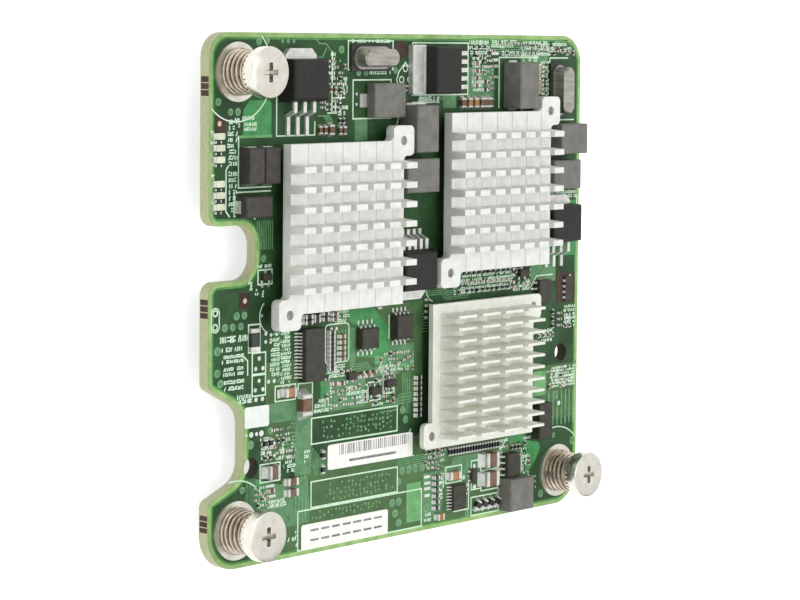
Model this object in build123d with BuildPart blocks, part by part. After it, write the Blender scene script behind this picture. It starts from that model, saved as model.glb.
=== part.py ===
"""Mezzanine network card: a notched circuit board with two network controllers and a bus
bridge under aluminium heatsinks, three spring-loaded captive screws, and a pair of
board-to-board connectors on its back.

The card lies flat. +Z leaves the component side, +X runs to the edge without notches,
+Y runs away from the connectors. The origin is the centre of the board's plan, at the
level of the connectors' mating faces. Millimetres.
"""
from build123d import *
from math import cos, pi, sin
import os

os.makedirs("parts", exist_ok=True)

# Circuit board
board_width = 109.4
board_height = 100.0
board_thickness = 2.3
top_left_corner_radius = 4.6
top_right_corner_radius = 6.0
bottom_corner_radius = 7.0
tooling_hole_radius = 1.9
tooling_hole_left = (-43.6, -31.4)
tooling_hole_right = (49.0, -17.5)

# Square notch in the left edge
square_notch_depth = 12.1
square_notch_top = 14.3
square_notch_bottom = 3.9
square_notch_inner_radius = 4.1
square_notch_mouth_radius = 2.5

# Sloped notch in the left edge
sloped_notch_depth = 9.2
sloped_notch_top = -15.6
sloped_notch_bottom = -36.9
sloped_notch_top_drop = 4.8
sloped_notch_bottom_rise = 3.7
sloped_notch_inner_radius = 4.5
sloped_notch_mouth_radius = 1.6

# Connectors on the back
connector_height = 6.0
connector_length = 24.4
connector_width = 5.1
connector_x = -15.0
connector_upper_y = -26.9
connector_lower_y = -39.0
connector_edge_chamfer = 0.4
connector_slot_length = 21.6
connector_slot_width = 2.7
connector_slot_depth = 4.4
contact_pitch = 1.0
contact_count = 20
contact_width = 0.4
contact_thickness = 0.35
contact_length = 3.9

# Captive screws
screw_inset_x = 6.9
screw_inset_y = 7.3
flange_radius = 5.55
flange_thickness = 0.6
ferrule_tube_radius = 3.2
ferrule_tube_height = 1.9
ferrule_bore_radius = 2.3
ferrule_pocket_radius = 2.8
ferrule_pocket_top = 0.3
ferrule_flare_radius = 3.9
ferrule_flare_thickness = 0.5
screw_bore_clearance = 0.07
screw_collar_clearance = 0.1
screw_collar_gap = 0.05
screw_collar_thickness = 0.9
screw_thread_radius = 1.5
screw_tip_protrusion = 1.2
screw_tip_chamfer = 0.4
screw_head_top = 9.1
screw_head_radius = 4.75
screw_head_thickness = 2.3
screw_grip_radius = 4.3
screw_grip_thickness = 1.0
screw_head_chamfer = 0.25
recess_width = 1.1
recess_span = 4.6
recess_depth = 1.5
spring_wire_radius = 0.33
spring_turns = 4.5
spring_wire_sides = 6
spring_steps_per_turn = 12
spring_foot_radius = 4.15
spring_head_radius = 3.5
spring_seat_gap = 0.03

# Controller packages, pads and heatsinks
controller_size = 27.0
controller_height = 2.4
controller_ball_field = 25.4
bridge_size = 25.0
bridge_height = 1.95
bridge_ball_field = 23.4
ball_height = 0.6
mould_inset = 1.4
mould_thickness = 1.15
pad_thickness = 0.35
pad_size = 22.0
sink_left_place = (-22.45, 13.2)
sink_right_place = (23.25, 18.35)
sink_lower_place = (19.75, -18.4)
pin_sink_width = 31.4
pin_sink_height = 32.0
pin_sink_plate = 2.05
pin_rows = 7
pin_row_pitch = 3.78
pin_columns = 7
pin_length = 3.1
pin_root_thickness = 1.7
pin_tip_thickness = 1.15
pin_height = 3.6
saw_depth = 0.15
ear_half_size = 2.95
ear_corner_radius = 1.1
ear_blend_radius = 1.0
blade_sink_width = 31.7
blade_sink_height = 29.0
blade_sink_plate = 1.1
blade_rows = 11
blade_row_pitch = 2.43
blade_columns = 4
blade_length = 5.5
blade_column_pitch = 7.27
blade_root_thickness = 0.95
blade_tip_thickness = 0.55
blade_height = 5.0
blade_ear_reach = 2.5
blade_ear_height = 5.2
rivet_inset = 2.5
rivet_radius = 0.9
rivet_hole_clearance = 0.04
rivet_recess = 0.45
rivet_tail = 0.8

# Power regulators
regulator_length = 8.2
regulator_width = 9.4
regulator_height = 4.3
regulator_front_slope = 0.45
regulator_rear_slope = 0.2
regulator_side_chamfer = 0.35
tab_reach = 1.9
tab_thickness = 1.27
tab_corner_cut = 1.3
tab_under = 5.6
tab_side_margin = 0.5
regulator_lead_width = 0.85
regulator_lead_thickness = 0.5
regulator_lead_top = 2.4
regulator_lead_run = 2.0
regulator_lead_slant = 0.9
three_lead_pitch = 2.54
five_lead_pitch = 1.7

# Inductors
inductor_standoff = 0.25
inductor_chamfer = 0.25
inductor_terminal_width = 2.6
inductor_terminal_under = 1.5
inductor_terminal_thickness = 0.2

# Crystals
crystal_can_length = 9.8
crystal_can_width = 3.5
crystal_can_height = 2.75
crystal_can_chamfer = 0.35
crystal_flange_lip = 0.45
crystal_flange_thickness = 0.4
crystal_base_margin = 0.85
crystal_base_thickness = 0.6

# Moulded capacitors
moulded_length = 6.8
moulded_width = 3.9
moulded_height = 3.1
moulded_standoff = 0.15
moulded_chamfer = 0.2
moulded_terminal_width = 2.4
moulded_terminal_thickness = 0.15
moulded_terminal_rise = 1.5
moulded_terminal_under = 1.2

# Leaded chips
chip_standoff = 0.12
chip_chamfer = 0.15
small_lead_thickness = 0.18

# Two-ended chip parts
end_cap_share = 0.2
resistor_length = 1.6
resistor_width = 0.5
resistor_height = 0.45
indicator_x = -52.6
indicator_resistor_drop = 1.08
decoupling_length = 1.6
decoupling_width = 0.8
decoupling_spacing_x = 5.0
decoupling_spacing_y = 4.0

# Resistor network and power block
network_place = (51.1, -3.9)
network_width = 2.4
network_length = 5.3
power_block_place = (41.45, -31.25)
power_block_width = 4.3
power_block_length = 7.5
power_block_height = 2.5

# Transistor and labels
transistor_length = 2.9
transistor_width = 1.4
transistor_height = 1.0
transistor_lead_width = 0.45
transistor_lead_pitch = 0.95
transistor_lead_reach = 0.65
label_upper_place = (-10.55, -31.95)
label_lower_place = (-17.75, -46.65)
label_length = 24.6
label_width = 4.9
label_thickness = 0.1
label_corner_radius = 0.6

# Levels and places that follow
left = -board_width / 2
right = board_width / 2
bottom = -board_height / 2
top = board_height / 2
back = connector_height
front = back + board_thickness
screw_places = {
    "top_left": (left + screw_inset_x, top - screw_inset_y),
    "bottom_left": (left + screw_inset_x, bottom + screw_inset_y),
    "bottom_right": (right - screw_inset_x, bottom + screw_inset_y),
}
pin_sink_underside = front + controller_height + pad_thickness
blade_sink_underside = front + bridge_height + pad_thickness


def pin_sink_ears(place):
    """The two opposite corners of a pin heatsink, where its ears and rivets are."""
    x, y = place
    dx = pin_sink_width / 2
    dy = pin_sink_height / 2
    return [(x - dx, y - dy), (x + dx, y + dy)]


def blade_sink_ears(place):
    """The two rivets of the blade heatsink, on its left and right edges."""
    x, y = place
    dx = blade_sink_width / 2
    dy = blade_sink_height / 2 - rivet_inset
    return [(x - dx, y - dy), (x + dx, y + dy)]


pin_sink_rivets = pin_sink_ears(sink_left_place) + pin_sink_ears(sink_right_place)
blade_sink_rivets = blade_sink_ears(sink_lower_place)

# Circuit board: one outline with both notches, then every hole through it
outline = [
    ((left, top), top_left_corner_radius),
    ((right, top), top_right_corner_radius),
    ((right, bottom), bottom_corner_radius),
    ((left, bottom), bottom_corner_radius),
    ((left, sloped_notch_bottom), sloped_notch_mouth_radius),
    ((left + sloped_notch_depth, sloped_notch_bottom + sloped_notch_bottom_rise), sloped_notch_inner_radius),
    ((left + sloped_notch_depth, sloped_notch_top - sloped_notch_top_drop), sloped_notch_inner_radius),
    ((left, sloped_notch_top), sloped_notch_mouth_radius),
    ((left, square_notch_bottom), square_notch_mouth_radius),
    ((left + square_notch_depth, square_notch_bottom), square_notch_inner_radius),
    ((left + square_notch_depth, square_notch_top), square_notch_inner_radius),
    ((left, square_notch_top), square_notch_mouth_radius),
]
with BuildPart() as circuit_board:
    with BuildSketch(Plane.XY.offset(back)):
        with BuildLine():
            corners = [corner for corner, radius in outline]
            radii = [radius for corner, radius in outline]
            FilletPolyline(*corners, radius=radii, close=True)
        make_face()
        with Locations(tooling_hole_left, tooling_hole_right):
            Circle(tooling_hole_radius, mode=Mode.SUBTRACT)
        with Locations(*screw_places.values()):
            Circle(ferrule_tube_radius, mode=Mode.SUBTRACT)
        with Locations(*pin_sink_rivets, *blade_sink_rivets):
            Circle(rivet_radius + rivet_hole_clearance, mode=Mode.SUBTRACT)
    extrude(amount=board_thickness)
circuit_board.part.label = "circuit_board"
export_step(circuit_board.part, "parts/circuit_board.step")

# Connector housings, each with a slot that opens on the mating face
for name, y in (("connector_upper", connector_upper_y), ("connector_lower", connector_lower_y)):
    with BuildPart() as housing:
        with BuildSketch():
            with Locations((connector_x, y)):
                Rectangle(connector_length, connector_width)
        extrude(amount=connector_height)
        chamfer(housing.edges().filter_by(Axis.Z), connector_edge_chamfer)
        with BuildSketch():
            with Locations((connector_x, y)):
                Rectangle(connector_slot_length, connector_slot_width)
        extrude(amount=connector_slot_depth, mode=Mode.SUBTRACT)
    housing.part.label = name
    export_step(housing.part, f"parts/{name}.step")

# Contact blades, standing in two rows on the walls of each slot
contact_row_spacing = connector_slot_width - contact_thickness
with BuildPart() as connector_contacts:
    with BuildSketch(Plane.XY.offset(connector_slot_depth)):
        with Locations((connector_x, connector_upper_y), (connector_x, connector_lower_y)):
            with GridLocations(contact_pitch, contact_row_spacing, contact_count, 2):
                Rectangle(contact_width, contact_thickness)
    extrude(amount=-contact_length)
connector_contacts.part.label = "connector_contacts"
export_step(connector_contacts.part, "parts/connector_contacts.step")

# Captive screws: a ferrule pressed in the board, a conical spring on it, and the screw
ferrule_foot = back - ferrule_flare_thickness
ferrule_shoulder = front - ferrule_pocket_top
ferrule_crown = front + ferrule_tube_height
flange_top = front + flange_thickness
head_top = front + screw_head_top
head_underside = head_top - screw_head_thickness
grip_underside = head_underside - screw_grip_thickness
shank_radius = ferrule_bore_radius - screw_bore_clearance
collar_radius = ferrule_pocket_radius - screw_collar_clearance
collar_top = ferrule_shoulder - screw_collar_gap
collar_underside = collar_top - screw_collar_thickness
screw_tip = ferrule_foot - screw_tip_protrusion
spring_lift = spring_wire_radius + spring_seat_gap
spring_rise = grip_underside - flange_top - 2 * spring_lift
with BuildPart() as screw_ferrules:
    for x, y in screw_places.values():
        with BuildSketch(Plane((x, y, 0), x_dir=(1, 0, 0), z_dir=(0, -1, 0))):
            with BuildLine():
                Polyline(
                    (ferrule_pocket_radius, ferrule_foot),
                    (ferrule_flare_radius, ferrule_foot),
                    (ferrule_flare_radius, back),
                    (ferrule_tube_radius, back),
                    (ferrule_tube_radius, front),
                    (flange_radius, front),
                    (flange_radius, flange_top),
                    (ferrule_tube_radius, flange_top),
                    (ferrule_tube_radius, ferrule_crown),
                    (ferrule_bore_radius, ferrule_crown),
                    (ferrule_bore_radius, ferrule_shoulder),
                    (ferrule_pocket_radius, ferrule_shoulder),
                    close=True,
                )
            make_face()
        revolve(axis=Axis((x, y, 0), (0, 0, 1)))
screw_ferrules.part.label = "screw_ferrules"
export_step(screw_ferrules.part, "parts/screw_ferrules.step")


def coil_point(x, y, share):
    """A point on the centre line of the conical spring, at this share of its turns."""
    angle = 2 * pi * spring_turns * share
    radius = spring_foot_radius + (spring_head_radius - spring_foot_radius) * share
    level = flange_top + spring_lift + spring_rise * share
    return (x + radius * cos(angle), y + radius * sin(angle), level)


coil_steps = round(spring_turns * spring_steps_per_turn)
for place, (x, y) in screw_places.items():
    with BuildPart() as spring:
        with BuildLine():
            coil = Polyline([coil_point(x, y, step / coil_steps) for step in range(coil_steps + 1)])
        with BuildSketch(Plane(origin=coil @ 0, z_dir=coil % 0)):
            RegularPolygon(spring_wire_radius, spring_wire_sides)
        sweep(transition=Transition.RIGHT)
    spring.part.label = f"screw_spring_{place}"
    export_step(spring.part, f"parts/screw_spring_{place}.step")

    with BuildPart() as screw:
        with BuildSketch(Plane((x, y, 0), x_dir=(1, 0, 0), z_dir=(0, -1, 0))):
            with BuildLine():
                Polyline(
                    (0, screw_tip),
                    (screw_thread_radius - screw_tip_chamfer, screw_tip),
                    (screw_thread_radius, screw_tip + screw_tip_chamfer),
                    (screw_thread_radius, collar_underside),
                    (collar_radius, collar_underside),
                    (collar_radius, collar_top),
                    (shank_radius, collar_top),
                    (shank_radius, grip_underside),
                    (screw_grip_radius, grip_underside),
                    (screw_grip_radius, head_underside),
                    (screw_head_radius, head_underside),
                    (screw_head_radius, head_top - screw_head_chamfer),
                    (screw_head_radius - screw_head_chamfer, head_top),
                    (0, head_top),
                    close=True,
                )
            make_face()
        revolve(axis=Axis((x, y, 0), (0, 0, 1)))
        with BuildSketch(Plane.XY.offset(head_top)):
            with Locations((x, y)):
                Rectangle(recess_span, recess_width)
                Rectangle(recess_width, recess_span)
        extrude(amount=-recess_depth, taper=12, mode=Mode.SUBTRACT)
    screw.part.label = f"captive_screw_{place}"
    export_step(screw.part, f"parts/captive_screw_{place}.step")

# Controller and bridge packages: a laminate on its ball field, with a stepped mould on top
packages = {
    "network_controller_left": (sink_left_place, controller_size, controller_height),
    "network_controller_right": (sink_right_place, controller_size, controller_height),
    "bus_bridge": (sink_lower_place, bridge_size, bridge_height),
}
for name, (place, size, height) in packages.items():
    with BuildPart() as package:
        with BuildSketch(Plane.XY.offset(front + ball_height)):
            with Locations(place):
                Rectangle(size, size)
        extrude(amount=height - ball_height - mould_thickness)
        with BuildSketch(package.faces().sort_by(Axis.Z)[-1]):
            Rectangle(size - 2 * mould_inset, size - 2 * mould_inset)
        extrude(amount=mould_thickness, taper=15)
    package.part.label = name
    export_step(package.part, f"parts/{name}.step")

with BuildPart() as ball_fields:
    with BuildSketch(Plane.XY.offset(front)):
        with Locations(sink_left_place, sink_right_place):
            Rectangle(controller_ball_field, controller_ball_field)
        with Locations(sink_lower_place):
            Rectangle(bridge_ball_field, bridge_ball_field)
    extrude(amount=ball_height)
ball_fields.part.label = "solder_ball_fields"
export_step(ball_fields.part, "parts/solder_ball_fields.step")

with BuildPart() as thermal_pads:
    with BuildSketch(Plane.XY.offset(front + controller_height)):
        with Locations(sink_left_place, sink_right_place):
            Rectangle(pad_size, pad_size)
    with BuildSketch(Plane.XY.offset(front + bridge_height)):
        with Locations(sink_lower_place):
            Rectangle(pad_size, pad_size)
    extrude(amount=pad_thickness)
thermal_pads.part.label = "thermal_pads"
export_step(thermal_pads.part, "parts/thermal_pads.step")


def fin_profile(root, tip, height):
    """One fin seen from its end, standing on the origin and tapering to its tip."""
    with BuildSketch() as profile:
        with BuildLine():
            Polyline(
                (-root / 2, 0),
                (root / 2, 0),
                (tip / 2, height),
                (-tip / 2, height),
                close=True,
            )
        make_face()
    return profile.sketch


# Pin heatsinks: a plate with two ears, extruded fins, then saw cuts across the fins
pin_column_pitch = (pin_sink_width - pin_length) / (pin_columns - 1)
pin_plate_top = pin_sink_underside + pin_sink_plate
for name, place in (("heatsink_left", sink_left_place), ("heatsink_right", sink_right_place)):
    x, y = place
    ears = pin_sink_ears(place)
    (ear_x, ear_y), (far_x, far_y) = ears
    blends = [
        (ear_x, ear_y + ear_half_size),
        (ear_x + ear_half_size, ear_y),
        (far_x, far_y - ear_half_size),
        (far_x - ear_half_size, far_y),
    ]
    with BuildPart() as sink:
        with BuildSketch(Plane.XY.offset(pin_sink_underside)) as plate:
            with Locations(place):
                Rectangle(pin_sink_width, pin_sink_height)
            with Locations(*ears):
                RectangleRounded(2 * ear_half_size, 2 * ear_half_size, ear_corner_radius)
            inner = [
                vertex
                for vertex in plate.vertices()
                if any(abs(vertex.X - bx) + abs(vertex.Y - by) < 0.01 for bx, by in blends)
            ]
            fillet(inner, ear_blend_radius)
            with Locations(*ears):
                Circle(rivet_radius + rivet_hole_clearance, mode=Mode.SUBTRACT)
        extrude(amount=pin_sink_plate)
        fin = fin_profile(pin_root_thickness, pin_tip_thickness, pin_height)
        with BuildSketch(Plane((x, y, pin_plate_top), x_dir=(0, 1, 0), z_dir=(1, 0, 0))):
            with GridLocations(pin_row_pitch, 0, pin_rows, 1):
                add(fin)
        extrude(amount=pin_sink_width / 2, both=True)
        with BuildSketch(Plane((x, y, pin_plate_top - saw_depth), x_dir=(1, 0, 0), z_dir=(0, -1, 0))):
            with GridLocations(pin_column_pitch, 0, pin_columns - 1, 1):
                Rectangle(pin_column_pitch - pin_length, saw_depth + pin_height, align=(Align.CENTER, Align.MIN))
        extrude(amount=pin_sink_height, both=True, mode=Mode.SUBTRACT)
    sink.part.label = name
    export_step(sink.part, f"parts/{name}.step")

# Blade heatsink: a thinner plate with side ears, and four columns of thin blades
blade_plate_top = blade_sink_underside + blade_sink_plate
x, y = sink_lower_place
with BuildPart() as heatsink_lower:
    with BuildSketch(Plane.XY.offset(blade_sink_underside)):
        with Locations(sink_lower_place):
            Rectangle(blade_sink_width, blade_sink_height)
        ear_x = x - blade_sink_width / 2
        ear_y = y - blade_sink_height / 2 + blade_ear_height / 2
        far_x = x + blade_sink_width / 2
        far_y = y + blade_sink_height / 2 - blade_ear_height / 2
        with Locations((ear_x, ear_y), (far_x, far_y)):
            RectangleRounded(2 * blade_ear_reach, blade_ear_height, ear_corner_radius)
        with Locations(*blade_sink_rivets):
            Circle(rivet_radius + rivet_hole_clearance, mode=Mode.SUBTRACT)
    extrude(amount=blade_sink_plate)
    fin = fin_profile(blade_root_thickness, blade_tip_thickness, blade_height)
    with BuildSketch(Plane((x, y, blade_plate_top), x_dir=(0, 1, 0), z_dir=(1, 0, 0))):
        with GridLocations(blade_row_pitch, 0, blade_rows, 1):
            add(fin)
    blade_span = (blade_columns - 1) * blade_column_pitch + blade_length
    extrude(amount=blade_span / 2, both=True)
    with BuildSketch(Plane((x, y, blade_plate_top), x_dir=(1, 0, 0), z_dir=(0, -1, 0))):
        with GridLocations(blade_column_pitch, 0, blade_columns - 1, 1):
            Rectangle(blade_column_pitch - blade_length, blade_height, align=(Align.CENTER, Align.MIN))
    extrude(amount=blade_sink_height, both=True, mode=Mode.SUBTRACT)
heatsink_lower.part.label = "heatsink_lower"
export_step(heatsink_lower.part, "parts/heatsink_lower.step")

# Rivet pins that hold the heatsinks, from the solder side to just under each ear's face
with BuildPart() as heatsink_pins:
    with BuildSketch(Plane.XY.offset(back - rivet_tail)):
        with Locations(*pin_sink_rivets):
            Circle(rivet_radius)
    extrude(amount=pin_plate_top - rivet_recess - back + rivet_tail)
    with BuildSketch(Plane.XY.offset(back - rivet_tail)):
        with Locations(*blade_sink_rivets):
            Circle(rivet_radius)
    extrude(amount=blade_plate_top - rivet_recess - back + rivet_tail)
heatsink_pins.part.label = "heatsink_pins"
export_step(heatsink_pins.part, "parts/heatsink_pins.step")


def side_view(seat):
    """The plane across a seat: its x runs along the leads, its y runs up."""
    return Plane(seat.origin, x_dir=seat.x_dir, z_dir=seat.y_dir * -1)


def bent_lead(start, run, slant, toe, top, thickness):
    """Side of a gull-wing lead: out of the body at the top, down, and flat on the board."""
    with BuildSketch() as strip:
        with BuildLine():
            Polyline(
                (start, top),
                (start + run, top),
                (start + run + slant, thickness),
                (toe, thickness),
                (toe, 0),
                (start + run + slant - thickness, 0),
                (start + run - thickness, top - thickness),
                (start, top - thickness),
                close=True,
            )
        make_face()
    return strip.sketch


# Power regulators: moulded body on a copper tab, with three or five bent leads
regulators = {
    "regulator_top_left": ((-32.0, 41.1), -90, 3, three_lead_pitch, 10.4),
    "regulator_top_middle": ((7.5, 42.85), 0, 5, five_lead_pitch, 9.8),
    "regulator_right_edge": ((45.9, 10.4), -90, 3, three_lead_pitch, 9.3),
    "regulator_centre": ((-0.45, 3.3), 90, 5, five_lead_pitch, 8.0),
}
for name, ((x, y), angle, lead_count, lead_pitch, toe) in regulators.items():
    seat = Plane(Location((x, y, front), (0, 0, angle)))
    rear = -regulator_length / 2
    nose = regulator_length / 2
    tab_centre = rear - tab_reach + (tab_reach + tab_under) / 2
    tab_width = regulator_width - 2 * tab_side_margin

    with BuildPart() as body:
        with BuildSketch(side_view(seat)):
            with BuildLine():
                Polyline(
                    (rear, 0),
                    (nose, 0),
                    (nose, regulator_lead_top),
                    (nose - regulator_front_slope, regulator_height),
                    (rear + regulator_rear_slope, regulator_height),
                    close=True,
                )
            make_face()
        extrude(amount=regulator_width / 2, both=True)
        chamfer(body.faces().sort_by(Axis.Z)[-1].edges(), regulator_side_chamfer)
        with BuildSketch(seat):
            with Locations((tab_centre, 0)):
                Rectangle(tab_reach + tab_under, tab_width)
        extrude(amount=tab_thickness, mode=Mode.SUBTRACT)
    body.part.label = name
    export_step(body.part, f"parts/{name}.step")

    with BuildPart() as leads:
        with BuildSketch(seat) as tab:
            with Locations((tab_centre, 0)):
                Rectangle(tab_reach + tab_under, tab_width)
            outer = [v for v in tab.vertices() if seat.to_local_coords(v).X < rear]
            chamfer(outer, tab_corner_cut)
        extrude(amount=tab_thickness)
        lead = bent_lead(
            nose, regulator_lead_run, regulator_lead_slant, toe, regulator_lead_top, regulator_lead_thickness
        )
        for number in range(lead_count):
            offset_y = (number - (lead_count - 1) / 2) * lead_pitch
            with BuildSketch(side_view(seat).offset(-offset_y)):
                add(lead)
            extrude(amount=regulator_lead_width / 2, both=True)
    leads.part.label = f"{name}_leads"
    export_step(leads.part, f"parts/{name}_leads.step")

# Power inductors: ferrite blocks with a flat terminal under each end.
# Place, length along the terminals, width, height, turn, and the terminals' reach.
inductors = {
    "inductor_top": ((-8.1, 37.0), 9.0, 6.8, 2.5, 0, 1.9),
    "inductor_upper_middle": ((0.3, 31.35), 9.3, 6.4, 5.0, 90, 0.4),
    "inductor_middle": ((-0.9, 22.15), 9.4, 6.7, 5.0, 0, 0.4),
    "inductor_top_right": ((31.8, 39.65), 9.5, 6.0, 5.0, 90, 0.4),
    "inductor_right_upper": ((46.95, 28.35), 8.7, 6.3, 5.0, 0, 0.4),
    "inductor_right_lower": ((45.0, 20.85), 8.9, 6.1, 4.8, 0, 0.4),
    "inductor_bottom": ((32.55, -45.65), 7.5, 6.7, 3.6, 0, 0.4),
}
for name, ((x, y), length, width, height, angle, reach) in inductors.items():
    seat = Plane(Location((x, y, front), (0, 0, angle)))
    with BuildPart() as block:
        with BuildSketch(seat.offset(inductor_standoff)):
            Rectangle(length, width)
        extrude(amount=height - inductor_standoff)
        chamfer(block.faces().sort_by(Axis.Z)[-1].edges(), inductor_chamfer)
    block.part.label = name
    export_step(block.part, f"parts/{name}.step")

with BuildPart() as inductor_terminals:
    for (x, y), length, width, height, angle, reach in inductors.values():
        seat = Plane(Location((x, y, front), (0, 0, angle)))
        terminal_length = inductor_terminal_under + reach
        with BuildSketch(seat):
            with GridLocations(length - inductor_terminal_under + reach, 0, 2, 1):
                Rectangle(terminal_length, inductor_terminal_width)
        extrude(amount=inductor_terminal_thickness)
inductor_terminals.part.label = "inductor_terminals"
export_step(inductor_terminals.part, "parts/inductor_terminals.step")

# Crystals: a drawn steel can with a flange, on a plastic base
crystals = [
    ((-11.65, 45.3), 0),
    ((46.6, 38.5), 90),
]
flange_length = crystal_can_length + 2 * crystal_flange_lip
flange_width = crystal_can_width + 2 * crystal_flange_lip
with BuildPart() as crystal_cans:
    for (x, y), angle in crystals:
        flange_seat = Plane(Location((x, y, front + crystal_base_thickness), (0, 0, angle)))
        with BuildSketch(flange_seat):
            SlotOverall(flange_length, flange_width)
        extrude(amount=crystal_flange_thickness)
        with BuildSketch(flange_seat.offset(crystal_flange_thickness)):
            SlotOverall(crystal_can_length, crystal_can_width)
        extrude(amount=crystal_can_height)
    chamfer(crystal_cans.faces().group_by(Axis.Z)[-1].edges(), crystal_can_chamfer)
crystal_cans.part.label = "crystal_cans"
export_step(crystal_cans.part, "parts/crystal_cans.step")

base_length = crystal_can_length + 2 * crystal_base_margin
base_width = crystal_can_width + 2 * crystal_base_margin
with BuildPart() as crystal_bases:
    for (x, y), angle in crystals:
        with BuildSketch(Plane(Location((x, y, front), (0, 0, angle)))):
            Rectangle(base_length, base_width)
        extrude(amount=crystal_base_thickness)
crystal_bases.part.label = "crystal_bases"
export_step(crystal_bases.part, "parts/crystal_bases.step")

# Moulded capacitors, with a terminal folded up each end
moulded_places = [
    ((-45.15, 25.3), 90),
    ((-41.0, 25.3), 90),
    ((-44.5, 17.7), 0),
]
with BuildPart() as moulded_capacitors:
    for (x, y), angle in moulded_places:
        with BuildSketch(Plane(Location((x, y, front + moulded_standoff), (0, 0, angle)))):
            Rectangle(moulded_length, moulded_width)
        extrude(amount=moulded_height - moulded_standoff)
    chamfer(moulded_capacitors.faces().group_by(Axis.Z)[-1].edges(), moulded_chamfer)
moulded_capacitors.part.label = "moulded_capacitors"
export_step(moulded_capacitors.part, "parts/moulded_capacitors.step")

with BuildPart() as moulded_terminals:
    for (x, y), angle in moulded_places:
        for end_angle in (angle, angle + 180):
            seat = Plane(Location((x, y, front), (0, 0, end_angle)))
            inner = moulded_length / 2
            outer = inner + moulded_terminal_thickness
            with BuildSketch(side_view(seat)):
                with BuildLine():
                    Polyline(
                        (inner - moulded_terminal_under, 0),
                        (outer, 0),
                        (outer, moulded_terminal_rise),
                        (inner, moulded_terminal_rise),
                        (inner, moulded_standoff),
                        (inner - moulded_terminal_under, moulded_standoff),
                        close=True,
                    )
                make_face()
            extrude(amount=moulded_terminal_width / 2, both=True)
moulded_terminals.part.label = "moulded_capacitor_terminals"
export_step(moulded_terminals.part, "parts/moulded_capacitor_terminals.step")

# Leaded chips. Place, turn of the leads, body across and along the leads' rows, height,
# leads on a side, their pitch and width, and how far they reach out.
chips = {
    "transceiver_chip": ((-28.3, -11.3), 0, 5.3, 10.2, 2.0, 14, 0.65, 0.3, 1.3),
    "memory_chip": ((-12.6, -9.4), 90, 4.0, 4.8, 1.9, 4, 1.27, 0.42, 1.5),
    "clock_chip": ((-2.7, -7.9), 90, 4.8, 4.7, 2.1, 4, 1.2, 0.42, 1.3),
    "buffer_chip": ((15.35, -44.4), 0, 4.0, 5.1, 1.2, 8, 0.65, 0.25, 1.1),
    "driver_chip": ((31.9, -39.7), 0, 3.8, 5.1, 1.7, 4, 1.27, 0.42, 1.4),
    "monitor_chip": ((42.0, -3.9), 0, 3.9, 4.9, 1.5, 4, 1.27, 0.42, 1.5),
}
for name, ((x, y), angle, across, along, height, count, pitch, width, reach) in chips.items():
    seat = Plane(Location((x, y, front), (0, 0, angle)))
    with BuildPart() as chip:
        with BuildSketch(seat.offset(chip_standoff)):
            Rectangle(across, along)
        extrude(amount=height - chip_standoff)
        chamfer(chip.faces().sort_by(Axis.Z)[-1].edges(), chip_chamfer)
    chip.part.label = name
    export_step(chip.part, f"parts/{name}.step")

# Small outline transistor, with three leads
transistor_x, transistor_y = (20.1, -40.6)
transistor_seat = Plane((transistor_x, transistor_y, front + chip_standoff))
with BuildPart() as transistor:
    with BuildSketch(transistor_seat):
        Rectangle(transistor_width, transistor_length)
    extrude(amount=transistor_height - chip_standoff)
    chamfer(transistor.faces().sort_by(Axis.Z)[-1].edges(), chip_chamfer)
transistor.part.label = "transistor"
export_step(transistor.part, "parts/transistor.step")

# Gull-wing leads of every chip and of the transistor
with BuildPart() as chip_leads:
    for (x, y), angle, across, along, height, count, pitch, width, reach in chips.values():
        lead = bent_lead(
            across / 2, 0.3 * reach, 0.15 * reach, across / 2 + reach, height / 2, small_lead_thickness
        )
        for side_angle in (angle, angle + 180):
            side = side_view(Plane(Location((x, y, front), (0, 0, side_angle))))
            for number in range(count):
                with BuildSketch(side.offset((number - (count - 1) / 2) * pitch)):
                    add(lead)
                extrude(amount=width / 2, both=True)
    lead = bent_lead(
        transistor_width / 2,
        0.3 * transistor_lead_reach,
        0.15 * transistor_lead_reach,
        transistor_width / 2 + transistor_lead_reach,
        transistor_height / 2,
        small_lead_thickness,
    )
    for side_angle, rows in ((0, (0,)), (180, (-1, 1))):
        side = side_view(Plane(Location((transistor_x, transistor_y, front), (0, 0, side_angle))))
        for row in rows:
            with BuildSketch(side.offset(row * transistor_lead_pitch)):
                add(lead)
            extrude(amount=transistor_lead_width / 2, both=True)
chip_leads.part.label = "chip_leads"
export_step(chip_leads.part, "parts/chip_leads.step")

# Ceramic capacitors, resistors, a fuse and indicator lights: a body between plated ends.
# Each has its place, turn, length, width and height.
ceramic_capacitors = [
    ((-33.8, -18.1), 0, 2.9, 1.7, 1.2),
    ((-30.1, -20.8), 90, 4.2, 2.5, 1.9),
    ((-38.65, -32.75), 0, 2.7, 2.4, 1.8),
    ((-32.9, -35.3), 0, 2.9, 1.5, 0.9),
    ((-32.9, -37.4), 0, 2.9, 1.5, 0.9),
    ((14.1, -39.8), 0, 3.4, 1.7, 1.2),
    ((25.05, -37.8), 0, 3.9, 3.0, 2.0),
    ((25.05, -41.7), 0, 3.9, 3.0, 2.0),
]
light_rows = (30.9, 28.75, 26.6, 22.15, 20.05, 17.9)
indicator_lights = [((indicator_x, y), 0, 2.8, 1.2, 0.8) for y in light_rows]
resistors = [
    ((indicator_x, y - indicator_resistor_drop), 0, resistor_length, resistor_width, resistor_height)
    for y in light_rows
]
fuses = [((-43.3, -7.3), 90, 4.3, 2.2, 0.9)]
chip_parts = {
    "ceramic_capacitors": ceramic_capacitors,
    "resistors": resistors,
    "indicator_lights": indicator_lights,
    "fuse": fuses,
}
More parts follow.
